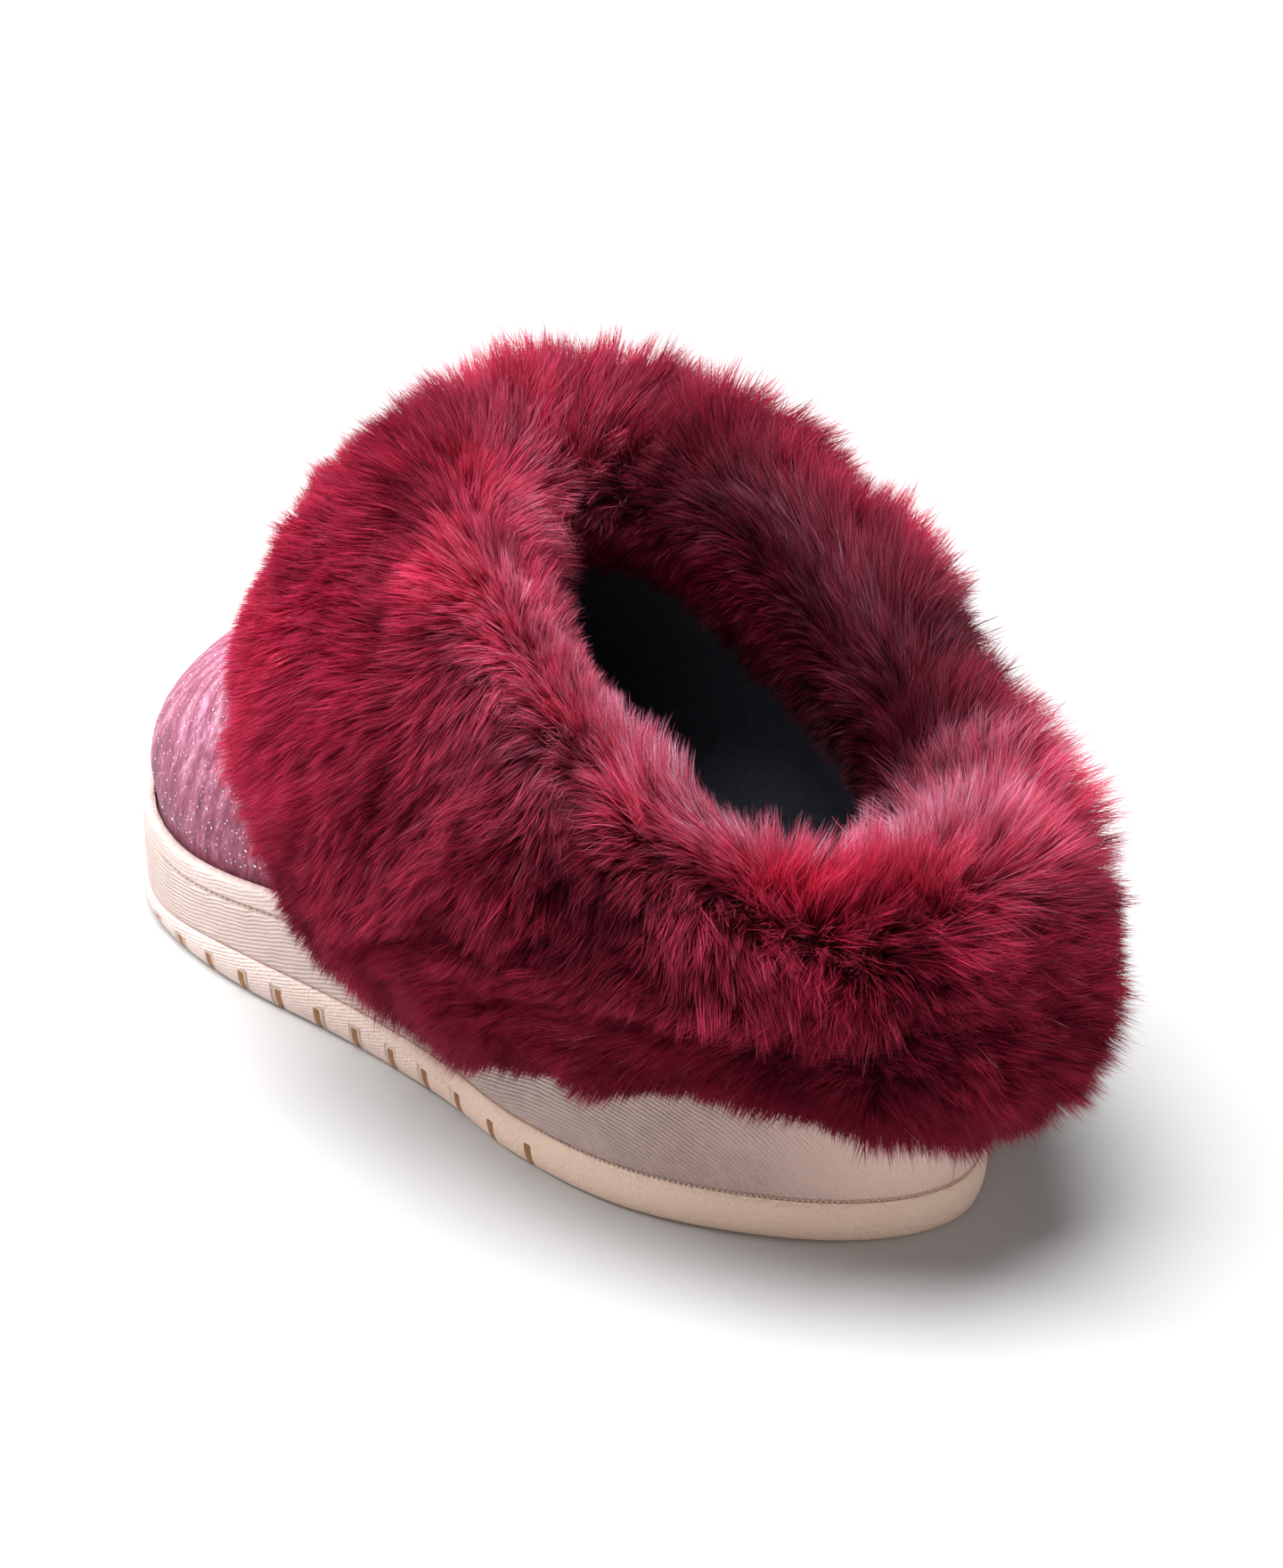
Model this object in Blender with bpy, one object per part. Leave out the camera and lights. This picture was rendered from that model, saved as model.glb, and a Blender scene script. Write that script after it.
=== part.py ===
"""Clog slipper with a deep faux-fur cuff, for the left foot.

Metres, +Z up, toe towards +Y, lateral side at -X. The floor is Z = 0, and the origin is
on the tread, 131 mm in front of the heel's end. Sizes below are in millimetres.
"""

import math

import bmesh
import bpy
import numpy as np
from mathutils import Matrix

MM = 0.001

# Driving dimensions of the sole.
SOLE_HEEL = -131.0
SOLE_TOE = 112.0
RIM_TOP = 9.3
TOE_SPRING = 3.0
TOE_SPRING_START = 66.0
ARCH_LIFT = 0.8
ARCH_RANGE = (-52.0, -6.0)
FOOT_SETBACK = 1.0
FOOT_CHAMFER = 0.6
WALL_SETBACK = 0.5
CUP_WALL = 3.2
CUP_FLOOR = 14.0
GROOVE_BELOW_LIP = 5.0
GROOVE_HALF_WIDTH = 1.1
GROOVE_DEPTH = 1.0
GROOVE_FADE = (0.42, 0.62)
LIP_ROUNDING = 1.2
HEEL_FLARE = 2.4
HEEL_FLARE_END = 0.45
GAP = 0.3

# Slits in the rim, counted along the outline from the toe tip.
SLIT_COUNT = 12
SLIT_FIRST = 60.6
SLIT_PITCH = 12.25
SLIT_WIDTH = 1.4
SLIT_HEIGHT = 5.6
SLIT_DEPTH = 5.0

# Insole and upper.
INSOLE_TOP = 19.6
INSOLE_EDGE = 1.6
UPPER_WALL = 2.4
TOE_ROWS = 4
BODY_ROWS = 8
COLLAR_MIDDLE = -57.0
COLLAR_HALF_LENGTH = 64.0
COLLAR_SQUARENESS = 0.85

# Fur cuff.
CUFF_GAP = 0.4
FUR_CREST_ROWS = 6
FUR_INSIDE_ROWS = 3
LOCK_LENGTH = 4.5
LOCK_SPREAD = (0.5, 1.2)
LOCK_HOLLOW = 0.3
LOCK_SWEEP = 4.0
LOCK_SEED = 7

# Points round every loop: heel, lateral side, toe, medial side.
COLUMNS = 64

# Half-width of the sole = breadth x sin(angle), which rounds the heel and the toe off.
SOLE_PLAN = np.array(
    # share of length, lateral breadth, medial breadth
    [
        (0.00, 53.0, 46.0),
        (0.08, 56.3, 47.0),
        (0.20, 57.0, 45.5),
        (0.32, 52.0, 40.0),
        (0.43, 46.7, 36.0),
        (0.51, 45.0, 35.5),
        (0.59, 46.4, 39.5),
        (0.70, 52.0, 49.5),
        (0.81, 58.2, 60.0),
        (0.90, 64.0, 66.0),
        (0.95, 66.0, 69.0),
        (1.00, 65.0, 67.0),
    ]
)

RIM_PROFILE = np.array(
    # inset from the outline, height
    [(2.8, 0.0), (1.0, 0.6), (0.2, 2.0), (0.0, RIM_TOP - 0.9), (0.6, RIM_TOP)]
)

# Every table below runs from the heel, share 0, to the toe, share 1, along each side.
LIP_HEIGHT = np.array(
    # share, height of the cup's lip
    [
        (0.00, 38.0),
        (0.25, 35.0),
        (0.50, 30.0),
        (0.57, 28.3),
        (0.61, 27.0),
        (0.66, 24.8),
        (0.70, 23.5),
        (0.75, 23.2),
        (0.82, 24.3),
        (0.90, 25.2),
        (1.00, 26.0),
    ]
)

RIM_HEIGHT = np.array(
    # share, height of the outsole's rim, which tapers off round the toe
    [(0.0, 9.3), (0.57, 9.3), (0.63, 9.0), (0.66, 8.2), (0.70, 6.7), (0.75, 4.8), (0.82, 4.0), (1.0, 4.0)]
)

COLLAR = np.array(
    # share, height, lateral half-width, medial half-width
    [
        (0.00, 60.0, 38.0, 33.0),
        (0.20, 62.0, 39.0, 34.0),
        (0.35, 75.0, 39.5, 34.5),
        (0.50, 94.0, 39.0, 35.0),
        (0.65, 107.0, 38.0, 35.0),
        (0.80, 112.5, 37.0, 35.0),
        (1.00, 114.0, 36.0, 35.0),
    ]
)

RIB = np.array(
    # share, rise and lean of the wall's foot, reach and slope of the wall's top
    [
        (0.00, 10.0, 3.0, 12.0, 0.10),
        (0.35, 18.0, 3.0, 22.0, 0.12),
        (0.60, 20.0, 2.5, 34.0, 0.55),
        (0.80, 23.0, 3.0, 48.0, 1.30),
        (1.00, 23.0, 3.0, 54.0, 1.60),
    ]
)

FUR = np.array(
    # share, hem on the rib, then lateral and medial: droop, pile, crest pile; inside pile
    [
        (0.00, 0.10, 14.0, 14.0, 26.0, 26.0, 29.0, 29.0, 14.0),
        (0.10, 0.09, 8.0, 19.0, 24.0, 30.0, 29.0, 30.0, 14.0),
        (0.20, 0.08, 4.0, 21.0, 22.0, 32.0, 28.0, 30.0, 13.0),
        (0.30, 0.07, 5.0, 20.0, 22.0, 30.0, 27.0, 29.0, 11.0),
        (0.37, 0.06, 13.0, 17.0, 22.0, 27.0, 27.0, 29.0, 10.0),
        (0.44, 0.06, 20.0, 17.0, 22.0, 25.0, 27.0, 29.0, 10.0),
        (0.50, 0.06, 11.0, 11.0, 21.0, 24.0, 26.0, 30.0, 10.0),
        (0.54, 0.08, 7.0, 7.0, 19.0, 22.0, 24.0, 30.0, 11.0),
        (0.60, 0.36, 6.0, 6.0, 17.0, 20.0, 22.0, 30.0, 12.0),
        (0.70, 0.58, 6.0, 6.0, 15.0, 19.0, 21.0, 31.0, 13.0),
        (0.80, 0.68, 6.0, 6.0, 16.0, 18.0, 22.0, 31.0, 14.0),
        (0.90, 0.72, 6.0, 6.0, 17.0, 18.0, 24.0, 30.0, 14.0),
        (1.00, 0.74, 6.0, 6.0, 18.0, 18.0, 27.0, 27.0, 14.0),
    ]
)

# The cuff's lower edge, as shares of the pile and of the droop, from the wall outwards.
FUR_HEM = np.array(
    # share of pile, share of droop
    [(0.32, 0.00), (0.38, 0.75), (0.50, 1.00)]
)
HEM_PILE = 0.5
HEM_REACH = 0.45
LINING_THINNING = 0.75


def smooth(table, column, at):
    """A table's column at the given shares, on a smooth curve through its rows."""
    knots, values = table[:, 0], table[:, column]
    slopes = np.gradient(values, knots)
    k = np.clip(np.searchsorted(knots, at) - 1, 0, len(knots) - 2)
    width = knots[k + 1] - knots[k]
    s = (at - knots[k]) / width
    start = (1 + 2 * s) * (1 - s) ** 2 * values[k] + s * (1 - s) ** 2 * width * slopes[k]
    end = s**2 * (3 - 2 * s) * values[k + 1] - s**2 * (1 - s) * width * slopes[k + 1]
    return start + end


def ease(x):
    """A soft step from 0 to 1."""
    x = np.clip(x, 0.0, 1.0)
    return x * x * (3 - 2 * x)


def unit(vectors):
    return vectors / np.linalg.norm(vectors, axis=-1, keepdims=True)


class Loop:
    """The columns round the shoe: angle 0 at the heel, pi at the toe, on both sides."""

    half = COLUMNS // 2
    step = np.arange(COLUMNS)
    angle = math.pi * np.where(step <= half, step, COLUMNS - step) / half
    share = angle / math.pi
    lateral = (step > 0) & (step < half)

    @classmethod
    def by_side(cls, table, lateral_column):
        """A column for the lateral side, and the next one for the medial side."""
        lateral = smooth(table, lateral_column, cls.share)
        medial = smooth(table, lateral_column + 1, cls.share)
        mean = (lateral + medial) / 2
        ends = np.isclose(np.sin(cls.angle), 0)
        return np.where(ends, mean, np.where(cls.lateral, lateral, medial))


def plan_normals(points):
    """Outward normals of a closed plan loop."""
    along = np.roll(points, -1, axis=0) - np.roll(points, 1, axis=0)
    return unit(np.stack([-along[:, 1], along[:, 0]], axis=1))


def sole_outline():
    """Plan points of the sole's outer edge and its outward normals."""
    by_angle = SOLE_PLAN.copy()
    by_angle[:, 0] = np.arccos(1 - 2 * SOLE_PLAN[:, 0]) / math.pi
    breadth = Loop.by_side(by_angle, 1)
    side = np.where(Loop.lateral, -1.0, 1.0)
    x = side * breadth * np.sin(Loop.angle)
    y = (SOLE_TOE + SOLE_HEEL) / 2 - (SOLE_TOE - SOLE_HEEL) / 2 * np.cos(Loop.angle)
    points = np.stack([x, y], axis=1)
    return points, plan_normals(points)


OUTLINE, OUTWARD = sole_outline()
LIP = smooth(LIP_HEIGHT, 1, Loop.share)
RIM = smooth(RIM_HEIGHT, 1, Loop.share)


def ground_lift(y):
    """How far the tread is off the floor: arch and toe spring."""
    arch = np.clip((y - ARCH_RANGE[0]) / (ARCH_RANGE[1] - ARCH_RANGE[0]), 0, 1)
    spring = ease((y - TOE_SPRING_START) / (SOLE_TOE - TOE_SPRING_START))
    return ARCH_LIFT * np.sin(math.pi * arch) ** 2 + TOE_SPRING * spring


def sole_loop(inset, height):
    """A loop at this inset from the sole's edge. The wall flares a little round the heel."""
    height = np.broadcast_to(np.asarray(height, float), (COLUMNS,))
    flare = HEEL_FLARE * np.clip((height - RIM_TOP) / (LIP - RIM_TOP), 0, 1)
    flare = flare * ease(1 - Loop.share / HEEL_FLARE_END)
    plan = OUTLINE - OUTWARD * (np.broadcast_to(inset, (COLUMNS,)) - flare)[:, None]
    lift = ground_lift(plan[:, 1])
    return np.column_stack([plan, height + lift])


def new_object(name, bm, material, smooth_angle=math.radians(40)):
    """A named object from a bmesh in millimetres, faces outwards, shaded smooth."""
    bmesh.ops.recalc_face_normals(bm, faces=bm.faces)
    bmesh.ops.scale(bm, vec=(MM, MM, MM), verts=bm.verts)
    mesh = bpy.data.meshes.new(name)
    bm.to_mesh(mesh)
    bm.free()
    mesh.shade_smooth()
    mesh.set_sharp_from_angle(angle=smooth_angle)
    obj = bpy.data.objects.new(name, mesh)
    if material is not None:
        mesh.materials.append(material)
    return obj


def skin_between(bm, lower, upper, row):
    """Skins two loops. Split from the odd points, so that every other point can stand up."""
    for i in range(COLUMNS):
        j = (i + 1) % COLUMNS
        corners = (lower[i], lower[j], upper[j], upper[i])
        if (i + row) % 2 == 0:
            corners = corners[1:] + corners[:1]
        bm.faces.new(corners[:3])
        bm.faces.new((corners[0], corners[2], corners[3]))


def loft(loops, ring=False):
    """A bmesh skinned over closed loops of equal count, and its vertices loop by loop."""
    bm = bmesh.new()
    rings = [[bm.verts.new(point) for point in loop] for loop in loops]
    pairs = list(zip(rings, rings[1:] + rings[:1])) if ring else list(zip(rings, rings[1:]))
    for row, (lower, upper) in enumerate(pairs):
        skin_between(bm, lower, upper, row)
    return bm, rings


def close_across(bm, ring):
    """Fills a loop with strips from the lateral to the medial side."""
    for i in range(Loop.half):
        corners = [ring[i], ring[i + 1], ring[-1 - i], ring[-i]]
        if i == 0:
            corners = [ring[0], ring[1], ring[-1]]
        elif i == Loop.half - 1:
            corners = [ring[i], ring[i + 1], ring[-i]]
        bm.faces.new(corners)


def slit_cutter(collection):
    """Blocks that cut the rim's slits, square to the outline, on both sides."""
    bm = bmesh.new()
    toe = Loop.half
    for direction in (-1, 1):
        order = [(toe + direction * k) % COLUMNS for k in range(Loop.half + 1)]
        path = OUTLINE[order]
        travelled = np.concatenate([[0], np.cumsum(np.linalg.norm(np.diff(path, axis=0), axis=1))])
        for k in range(SLIT_COUNT):
            at = SLIT_FIRST + k * SLIT_PITCH
            place = [np.interp(at, travelled, path[:, axis]) for axis in (0, 1)]
            outward = [np.interp(at, travelled, OUTWARD[order][:, axis]) for axis in (0, 1)]
            turn = math.atan2(outward[1], outward[0])
            height = SLIT_HEIGHT * np.interp(at, travelled, RIM[order]) / RIM_TOP
            block = Matrix.Diagonal((2 * SLIT_DEPTH, SLIT_WIDTH, 2 * height, 1))
            spot = Matrix.Translation((place[0], place[1], ground_lift(place[1])))
            bmesh.ops.create_cube(bm, size=1, matrix=spot @ Matrix.Rotation(turn, 4, "Z") @ block)
    cutter = new_object("slit_cutter", bm, None)
    cutter.hide_render = True
    cutter.display_type = "WIRE"
    collection.objects.link(cutter)
    return cutter


def make_outsole(material, cutter):
    bm, rings = loft([sole_loop(inset, height * RIM / RIM_TOP) for inset, height in RIM_PROFILE])
    close_across(bm, rings[0])
    close_across(bm, rings[-1])
    outsole = new_object("outsole", bm, material)
    slits = outsole.modifiers.new("slits", "BOOLEAN")
    slits.operation = "DIFFERENCE"
    slits.solver = "EXACT"
    slits.object = cutter
    return outsole


def make_sidewall(material):
    """The moulded cup: floor, ribbed wall, stitched groove round the toe, and lip."""
    foot = RIM + GAP
    groove = LIP - GROOVE_BELOW_LIP
    start, end = GROOVE_FADE
    depth = GROOVE_DEPTH * ease((Loop.share - start) / (end - start))
    rows = [
        (FOOT_SETBACK + FOOT_CHAMFER, foot),
        (FOOT_SETBACK, foot + FOOT_CHAMFER),
        (WALL_SETBACK, (foot + groove) / 2),
        (WALL_SETBACK, groove - GROOVE_HALF_WIDTH),
        (WALL_SETBACK + depth, groove),
        (WALL_SETBACK, groove + GROOVE_HALF_WIDTH),
        (WALL_SETBACK, LIP - LIP_ROUNDING),
        (WALL_SETBACK + LIP_ROUNDING, LIP),
        (CUP_WALL - LIP_ROUNDING / 2, LIP),
        (CUP_WALL, LIP - LIP_ROUNDING / 2),
        (CUP_WALL, CUP_FLOOR),
    ]
    bm, rings = loft([sole_loop(inset, height) for inset, height in rows])
    close_across(bm, rings[0])
    close_across(bm, rings[-1])
    return new_object("sidewall", bm, material)


def make_insole(material):
    inset = CUP_WALL + GAP + UPPER_WALL + GAP
    rows = [
        (inset, CUP_FLOOR + GAP),
        (inset, INSOLE_TOP - INSOLE_EDGE),
        (inset + INSOLE_EDGE, INSOLE_TOP),
    ]
    bm, rings = loft([sole_loop(*row) for row in rows])
    close_across(bm, rings[0])
    close_across(bm, rings[-1])
    return new_object("insole", bm, material)


def collar_loop():
    """The upper's top edge."""
    side = np.where(Loop.lateral, -1.0, 1.0)
    x = side * Loop.by_side(COLLAR, 2) * np.abs(np.sin(Loop.angle)) ** COLLAR_SQUARENESS
    y = COLLAR_MIDDLE - COLLAR_HALF_LENGTH * np.cos(Loop.angle)
    return np.column_stack([x, y, smooth(COLLAR, 1, Loop.share)])


def rib_controls():
    """Four Bezier points for each rib of the upper, from the cup's lip to the collar."""
    up = np.array([0.0, 0.0, 1.0])
    foot = sole_loop(CUP_WALL + GAP, LIP + FOOT_SETBACK)
    collar = collar_loop()
    outward = np.column_stack([OUTWARD, np.zeros(COLUMNS)])
    facing = np.column_stack([plan_normals(collar[:, :2]), np.zeros(COLUMNS)])
    rise, lean, reach, slope = (smooth(RIB, k, Loop.share)[:, None] for k in (1, 2, 3, 4))
    low = foot + up * rise + outward * lean
    high = collar + unit(facing * slope - up) * reach
    return np.stack([foot, low, high, collar])


RIBS = rib_controls()
HEM = smooth(FUR, 1, Loop.share)
BODY = [HEM + (1 - HEM) * k / BODY_ROWS for k in range(BODY_ROWS + 1)]


def rib_points(t, controls=RIBS):
    """Points on the ribs at t, one value for each column, and the tangents there."""
    t = np.broadcast_to(np.asarray(t, float), (COLUMNS,))[:, None]
    a, b, c, d = controls
    points = (1 - t) ** 3 * a + 3 * t * (1 - t) ** 2 * b + 3 * t**2 * (1 - t) * c + t**3 * d
    along = 3 * (1 - t) ** 2 * (b - a) + 6 * t * (1 - t) * (c - b) + 3 * t**2 * (d - c)
    return points, unit(along)


def rib_frame(t):
    """Point, upward tangent and outward normal of the upper's surface at t."""
    points, along = rib_points(t)
    after = rib_points(t, np.roll(RIBS, -1, axis=1))[0]
    before = rib_points(t, np.roll(RIBS, 1, axis=1))[0]
    return points, along, unit(np.cross(along, after - before))


def make_upper(material):
    """One hollow wall: straight inside the cup, then a rib surface up to the collar."""
    straight = sole_loop(CUP_WALL + GAP, CUP_FLOOR + GAP)
    outer = [straight]
    inner = [sole_loop(CUP_WALL + GAP + UPPER_WALL, CUP_FLOOR + GAP)]
    toe = [HEM * k / TOE_ROWS for k in range(TOE_ROWS)]
    for t in toe + BODY:
        points, _, normals = rib_frame(t)
        outer.append(points)
        inner.append(points - normals * UPPER_WALL)
    bm, _ = loft(outer + inner[::-1], ring=True)
    return new_object("upper", bm, material)


def fur_locks(row, points, along, normals):
    """Lifts every other point of a row into a lock that is swept down the pile."""
    draw = np.random.default_rng(LOCK_SEED + row)
    length = LOCK_LENGTH * draw.uniform(*LOCK_SPREAD, COLUMNS)
    tip = (Loop.step + row) % 2 == 0
    lift = np.where(tip, length, -LOCK_HOLLOW * length)[:, None]
    sweep = np.where(tip, LOCK_SWEEP, 0.0)[:, None]
    return points + normals * lift - along * sweep


def fur_sections():
    """Loops of the cuff's section: outside, over the collar, inside, and back on the wall."""
    droop, pile, crest = (Loop.by_side(FUR, k) for k in (2, 4, 6))
    inside = smooth(FUR, 8, Loop.share)
    lining = BODY[: -FUR_INSIDE_ROWS - 1 : -1]
    skin = np.full(COLUMNS, CUFF_GAP)
    loops = []

    def add(t, height, fall=0.0, locks=False):
        points, along, normals = rib_frame(t)
        points = points + normals * height[:, None] - along * np.reshape(fall, (-1, 1))
        loops.append(fur_locks(len(loops), points, along, normals) if locks else points)

    add(HEM, skin)
    for share, fall in FUR_HEM:
        add(HEM, pile * share, droop * fall)
    for k in range(1, BODY_ROWS + 1):
        s = k / BODY_ROWS
        full = pile + (crest - pile) * ease(s)
        height = full * (HEM_PILE + (1 - HEM_PILE) * ease(s / HEM_REACH))
        add(BODY[k], height, droop * (1 - ease(s / HEM_REACH)), locks=True)

    edge, along, normals = rib_frame(1.0)
    middle = edge - normals * UPPER_WALL / 2
    for k in range(1, FUR_CREST_ROWS + 1):
        turn = math.pi * k / (FUR_CREST_ROWS + 0.5)
        reach = (crest + (inside + UPPER_WALL - crest) * ease(k / FUR_CREST_ROWS))[:, None]
        way = normals * math.cos(turn) + along * math.sin(turn)
        loops.append(fur_locks(len(loops), middle + way * reach, along * 0.0, way))

    for k, t in enumerate(lining[1:], 1):
        add(t, -(UPPER_WALL + inside * (1 - LINING_THINNING * k / FUR_INSIDE_ROWS)))
    for t in reversed(lining[1:]):
        add(t, -(UPPER_WALL + skin))
    for height in (-(UPPER_WALL + CUFF_GAP), CUFF_GAP):
        loops.append(edge + normals * height + along * CUFF_GAP)
    for t in BODY[-2:0:-1]:
        add(t, skin)
    return loops


def make_fur_cuff(material):
    bm, _ = loft(fur_sections(), ring=True)
    return new_object("fur_cuff", bm, material, smooth_angle=math.radians(60))


def principled(name, colour, roughness, sheen=0.0):
    material = bpy.data.materials.new(name)
    material.use_nodes = True
    shader = material.node_tree.nodes["Principled BSDF"]
    shader.inputs["Base Color"].default_value = (*colour, 1.0)
    shader.inputs["Roughness"].default_value = roughness
    shader.inputs["Metallic"].default_value = 0.0
    shader.inputs["Sheen Weight"].default_value = sheen
    material.diffuse_color = (*colour, 1.0)
    return material


def clear_scene():
    for obj in list(bpy.data.objects):
        bpy.data.objects.remove(obj, do_unlink=True)


def main():
    clear_scene()
    slipper = bpy.data.collections.new("clog_slipper")
    cutters = bpy.data.collections.new("cutters")
    for collection in (slipper, cutters):
        bpy.context.scene.collection.children.link(collection)

    rubber = principled("sole_rubber", (0.80, 0.60, 0.48), 0.6)
    ribbed = principled("ribbed_wall", (0.80, 0.62, 0.52), 0.65)
    footbed = principled("footbed", (0.012, 0.013, 0.018), 0.9)
    glitter = principled("glitter_fabric", (0.52, 0.20, 0.36), 0.6, sheen=0.4)
    fur = principled("burgundy_fur", (0.26, 0.012, 0.05), 0.7, sheen=0.6)

    pieces = [
        make_outsole(rubber, slit_cutter(cutters)),
        make_sidewall(ribbed),
        make_insole(footbed),
        make_upper(glitter),
        make_fur_cuff(fur),
    ]
    base = bpy.data.objects.new("shoe_base", None)
    slipper.objects.link(base)
    for piece in pieces:
        slipper.objects.link(piece)
        piece.parent = base


main()
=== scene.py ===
"""Looks of the clog slipper: fur cuff, glitter toe, dark lining and ribbed cup sole.

Lengths are in millimetres until a mesh is written, in the same frame as the CAD model:
+Z up, toe towards +Y, lateral side at -X, floor at Z = 0.
"""

import math

import bmesh
import bpy
import numpy as np
from mathutils import Matrix, Vector


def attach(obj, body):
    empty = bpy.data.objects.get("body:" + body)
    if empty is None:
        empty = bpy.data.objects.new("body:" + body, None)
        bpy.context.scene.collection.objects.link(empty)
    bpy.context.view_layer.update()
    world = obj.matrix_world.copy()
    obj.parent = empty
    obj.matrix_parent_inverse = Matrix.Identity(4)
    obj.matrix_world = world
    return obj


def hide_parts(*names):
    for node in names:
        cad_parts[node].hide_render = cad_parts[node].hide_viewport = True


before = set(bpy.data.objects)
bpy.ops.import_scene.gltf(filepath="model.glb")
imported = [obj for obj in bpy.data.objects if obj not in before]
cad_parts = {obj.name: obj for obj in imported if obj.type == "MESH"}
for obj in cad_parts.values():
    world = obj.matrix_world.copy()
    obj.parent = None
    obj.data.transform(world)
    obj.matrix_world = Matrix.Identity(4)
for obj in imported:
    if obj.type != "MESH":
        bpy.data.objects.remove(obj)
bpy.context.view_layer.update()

MM = 0.001

# Camera, as fitted to the photograph.
CAMERA_PLACE = (-0.56645, -0.69087, 0.48757)
CAMERA_AZIMUTH = math.radians(-40.93)
CAMERA_ELEVATION = math.radians(26.14)
CAMERA_ROLL = math.radians(-0.17)
CAMERA_LENS = 107.65

# Sizes of the sole.
SOLE_HEEL = -131.0
SOLE_TOE = 112.0
RIM_TOP = 9.3
TOE_SPRING = 3.0
TOE_SPRING_START = 66.0
ARCH_LIFT = 0.8
ARCH_RANGE = (-52.0, -6.0)
FOOT_SETBACK = 0.6
FOOT_CHAMFER = 0.4
WALL_SETBACK = 0.4
FOOT_ABOVE_LIP = 1.0
CUP_WALL = 3.2
CUP_FLOOR = 14.0
GROOVE_BELOW_LIP = 5.0
GROOVE_HALF_WIDTH = 0.9
GROOVE_DEPTH = 0.9
GROOVE_FADE = (0.42, 0.62)
LIP_ROUNDING = 1.2
LIP_EDGE = 0.3
HEEL_FLARE = 2.4
HEEL_FLARE_END = 0.45
CHAMFER_BEND = (0.15, 0.2)
GAP = 0.3
SEAM_GAP = 0.12
RIM_ROWS = 16
RIM_SHARP = math.radians(50)

# Shares over which the sole's colours and ribs change, and how much of the ribs is left at the heel. The
# colours are painted light and shade: the wall is painted darker, as shade, from its middle to the heel and
# lighter towards the toe, while the rim and the very back of the wall are painted lighter round the heel.
RIM_PALE = (0.35, 0.65)
WALL_PALE = (0.14, 0.50)
WALL_WARM = (0.26, 0.04)
WALL_RIBBED = (0.10, 0.28)
HEEL_RIBS = 0.2

# Slits in the rim, counted along the outline from the toe tip.
SLIT_COUNT = 12
SLIT_FIRST = 60.6
SLIT_PITCH = 12.25
SLIT_WIDTH = 2.1
SLIT_HEIGHT = 5.7
SLIT_DEPTH = 2.0
SLIT_TOP_ROUNDING = 0.4

# Thread: length and width of a stitch, pitch, how far it stands out, where the row starts or ends.
TOE_STITCH = (1.6, 0.55)
TOE_STITCH_PITCH = 2.1
TOE_STITCH_RISE = 0.25
TOE_STITCH_START = 0.56
HEEL_STITCH = (1.0, 0.6)
HEEL_STITCH_PITCH = 1.15
HEEL_STITCH_RISE = 0.1
HEEL_STITCH_END = 0.36

# Footbed, upper and lining.
INSOLE_TOP = 19.6
INSOLE_EDGE = 2.4
FOOTBED_DISH = 1.2
UPPER_WALL = 2.4
UPPER_ROWS = 45
FABRIC_SHARE = 0.5
LINING_ROWS = 13
LINING_GAP = 0.05
COLLAR_MIDDLE = -57.0
COLLAR_HALF_LENGTH = 64.0
COLLAR_SQUARENESS = 0.85
TOE_RIB_PITCH = 3.6
TOE_RIB_HEIGHT = 0.14
TOE_RIB_START = 0.06
TOE_RIB_SEED = 21
TOE_RIB_CELLS = (6, 30)
TOE_RIB_WANDER = 2.2
TOE_SHADE_HEIGHT = 45.0
UP_BELOW_LIP = -10.0
TOE_RIB_PLAN = (0.755, -0.655, -0.12)
TOE_RIB_SHIFT = 117.0
TOE_RIB_LEAN = 0.75
TOE_LEAN_RANGE = (0.96, 0.76)

# The toe swells above the lip, and fades out again up the rib.
TOE_PLUMP = 0.9
PLUMP_TOP = 0.12
PLUMP_FADE = 0.35
PLUMP_RANGE = (0.50, 0.65)

# Glitter in cells between rings up the toe and columns round it.
GLITTER_SEED = 5
GLITTER_START = 0.48
GLITTER_RINGS = np.linspace(0.03, 0.92, 60)
GLITTER_STEP = (1.55, 1.25)
GLITTER_JITTER = (0.6, 0.45)
GLITTER_KEPT = 0.45
GLITTER_UNDER_HEM = 0.06
GLITTER_TILT = 0.25
GLITTER_LIFT = 0.1
GLITTER_SIZE = (0.13, 0.28)
LARGE_FLAKES = 0.12
LARGE_FLAKE = 1.5

# Fur cuff.
CUFF_GAP = 0.4
HEM_PILE = 0.5
HEM_REACH = 0.45
LINING_THINNING = 0.75
CREST_TURN = math.pi / 6.5
CREST_END = 6.0
INSIDE_START = 0.5
BODY_ROWS = 8
HEM_ROWS = 5
WALL_ROWS = 30
CREST_ROWS = 34
INSIDE_ROWS = 18
HEM_BACKING = (0.75, 0.45)
CREST_BACKING = 0.45
BODY_BACKING = 0.62
PLUSH_RISE = 0.25
PLUSH_FALL = 0.7
UNDERCOAT_SEED = 31
UNDERCOAT_CELLS = (24, 90)
FUR_SEED = 11
CLUMPS = 32400
HAIRS_PER_CLUMP = 12
CLUMP_RADIUS = 1.2
CLUMP_PULL = 0.55
PULL_RANGE = (0.4, 1.3)
HAIR_HALF_WIDTH = 0.105
HAIR_WIDTHS = (0.7, 1.35)
HAIR_LENGTHS = (0.72, 1.12)
HAIR_TONES = (0.78, 1.22)
HAIR_PIECES = 4
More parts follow.
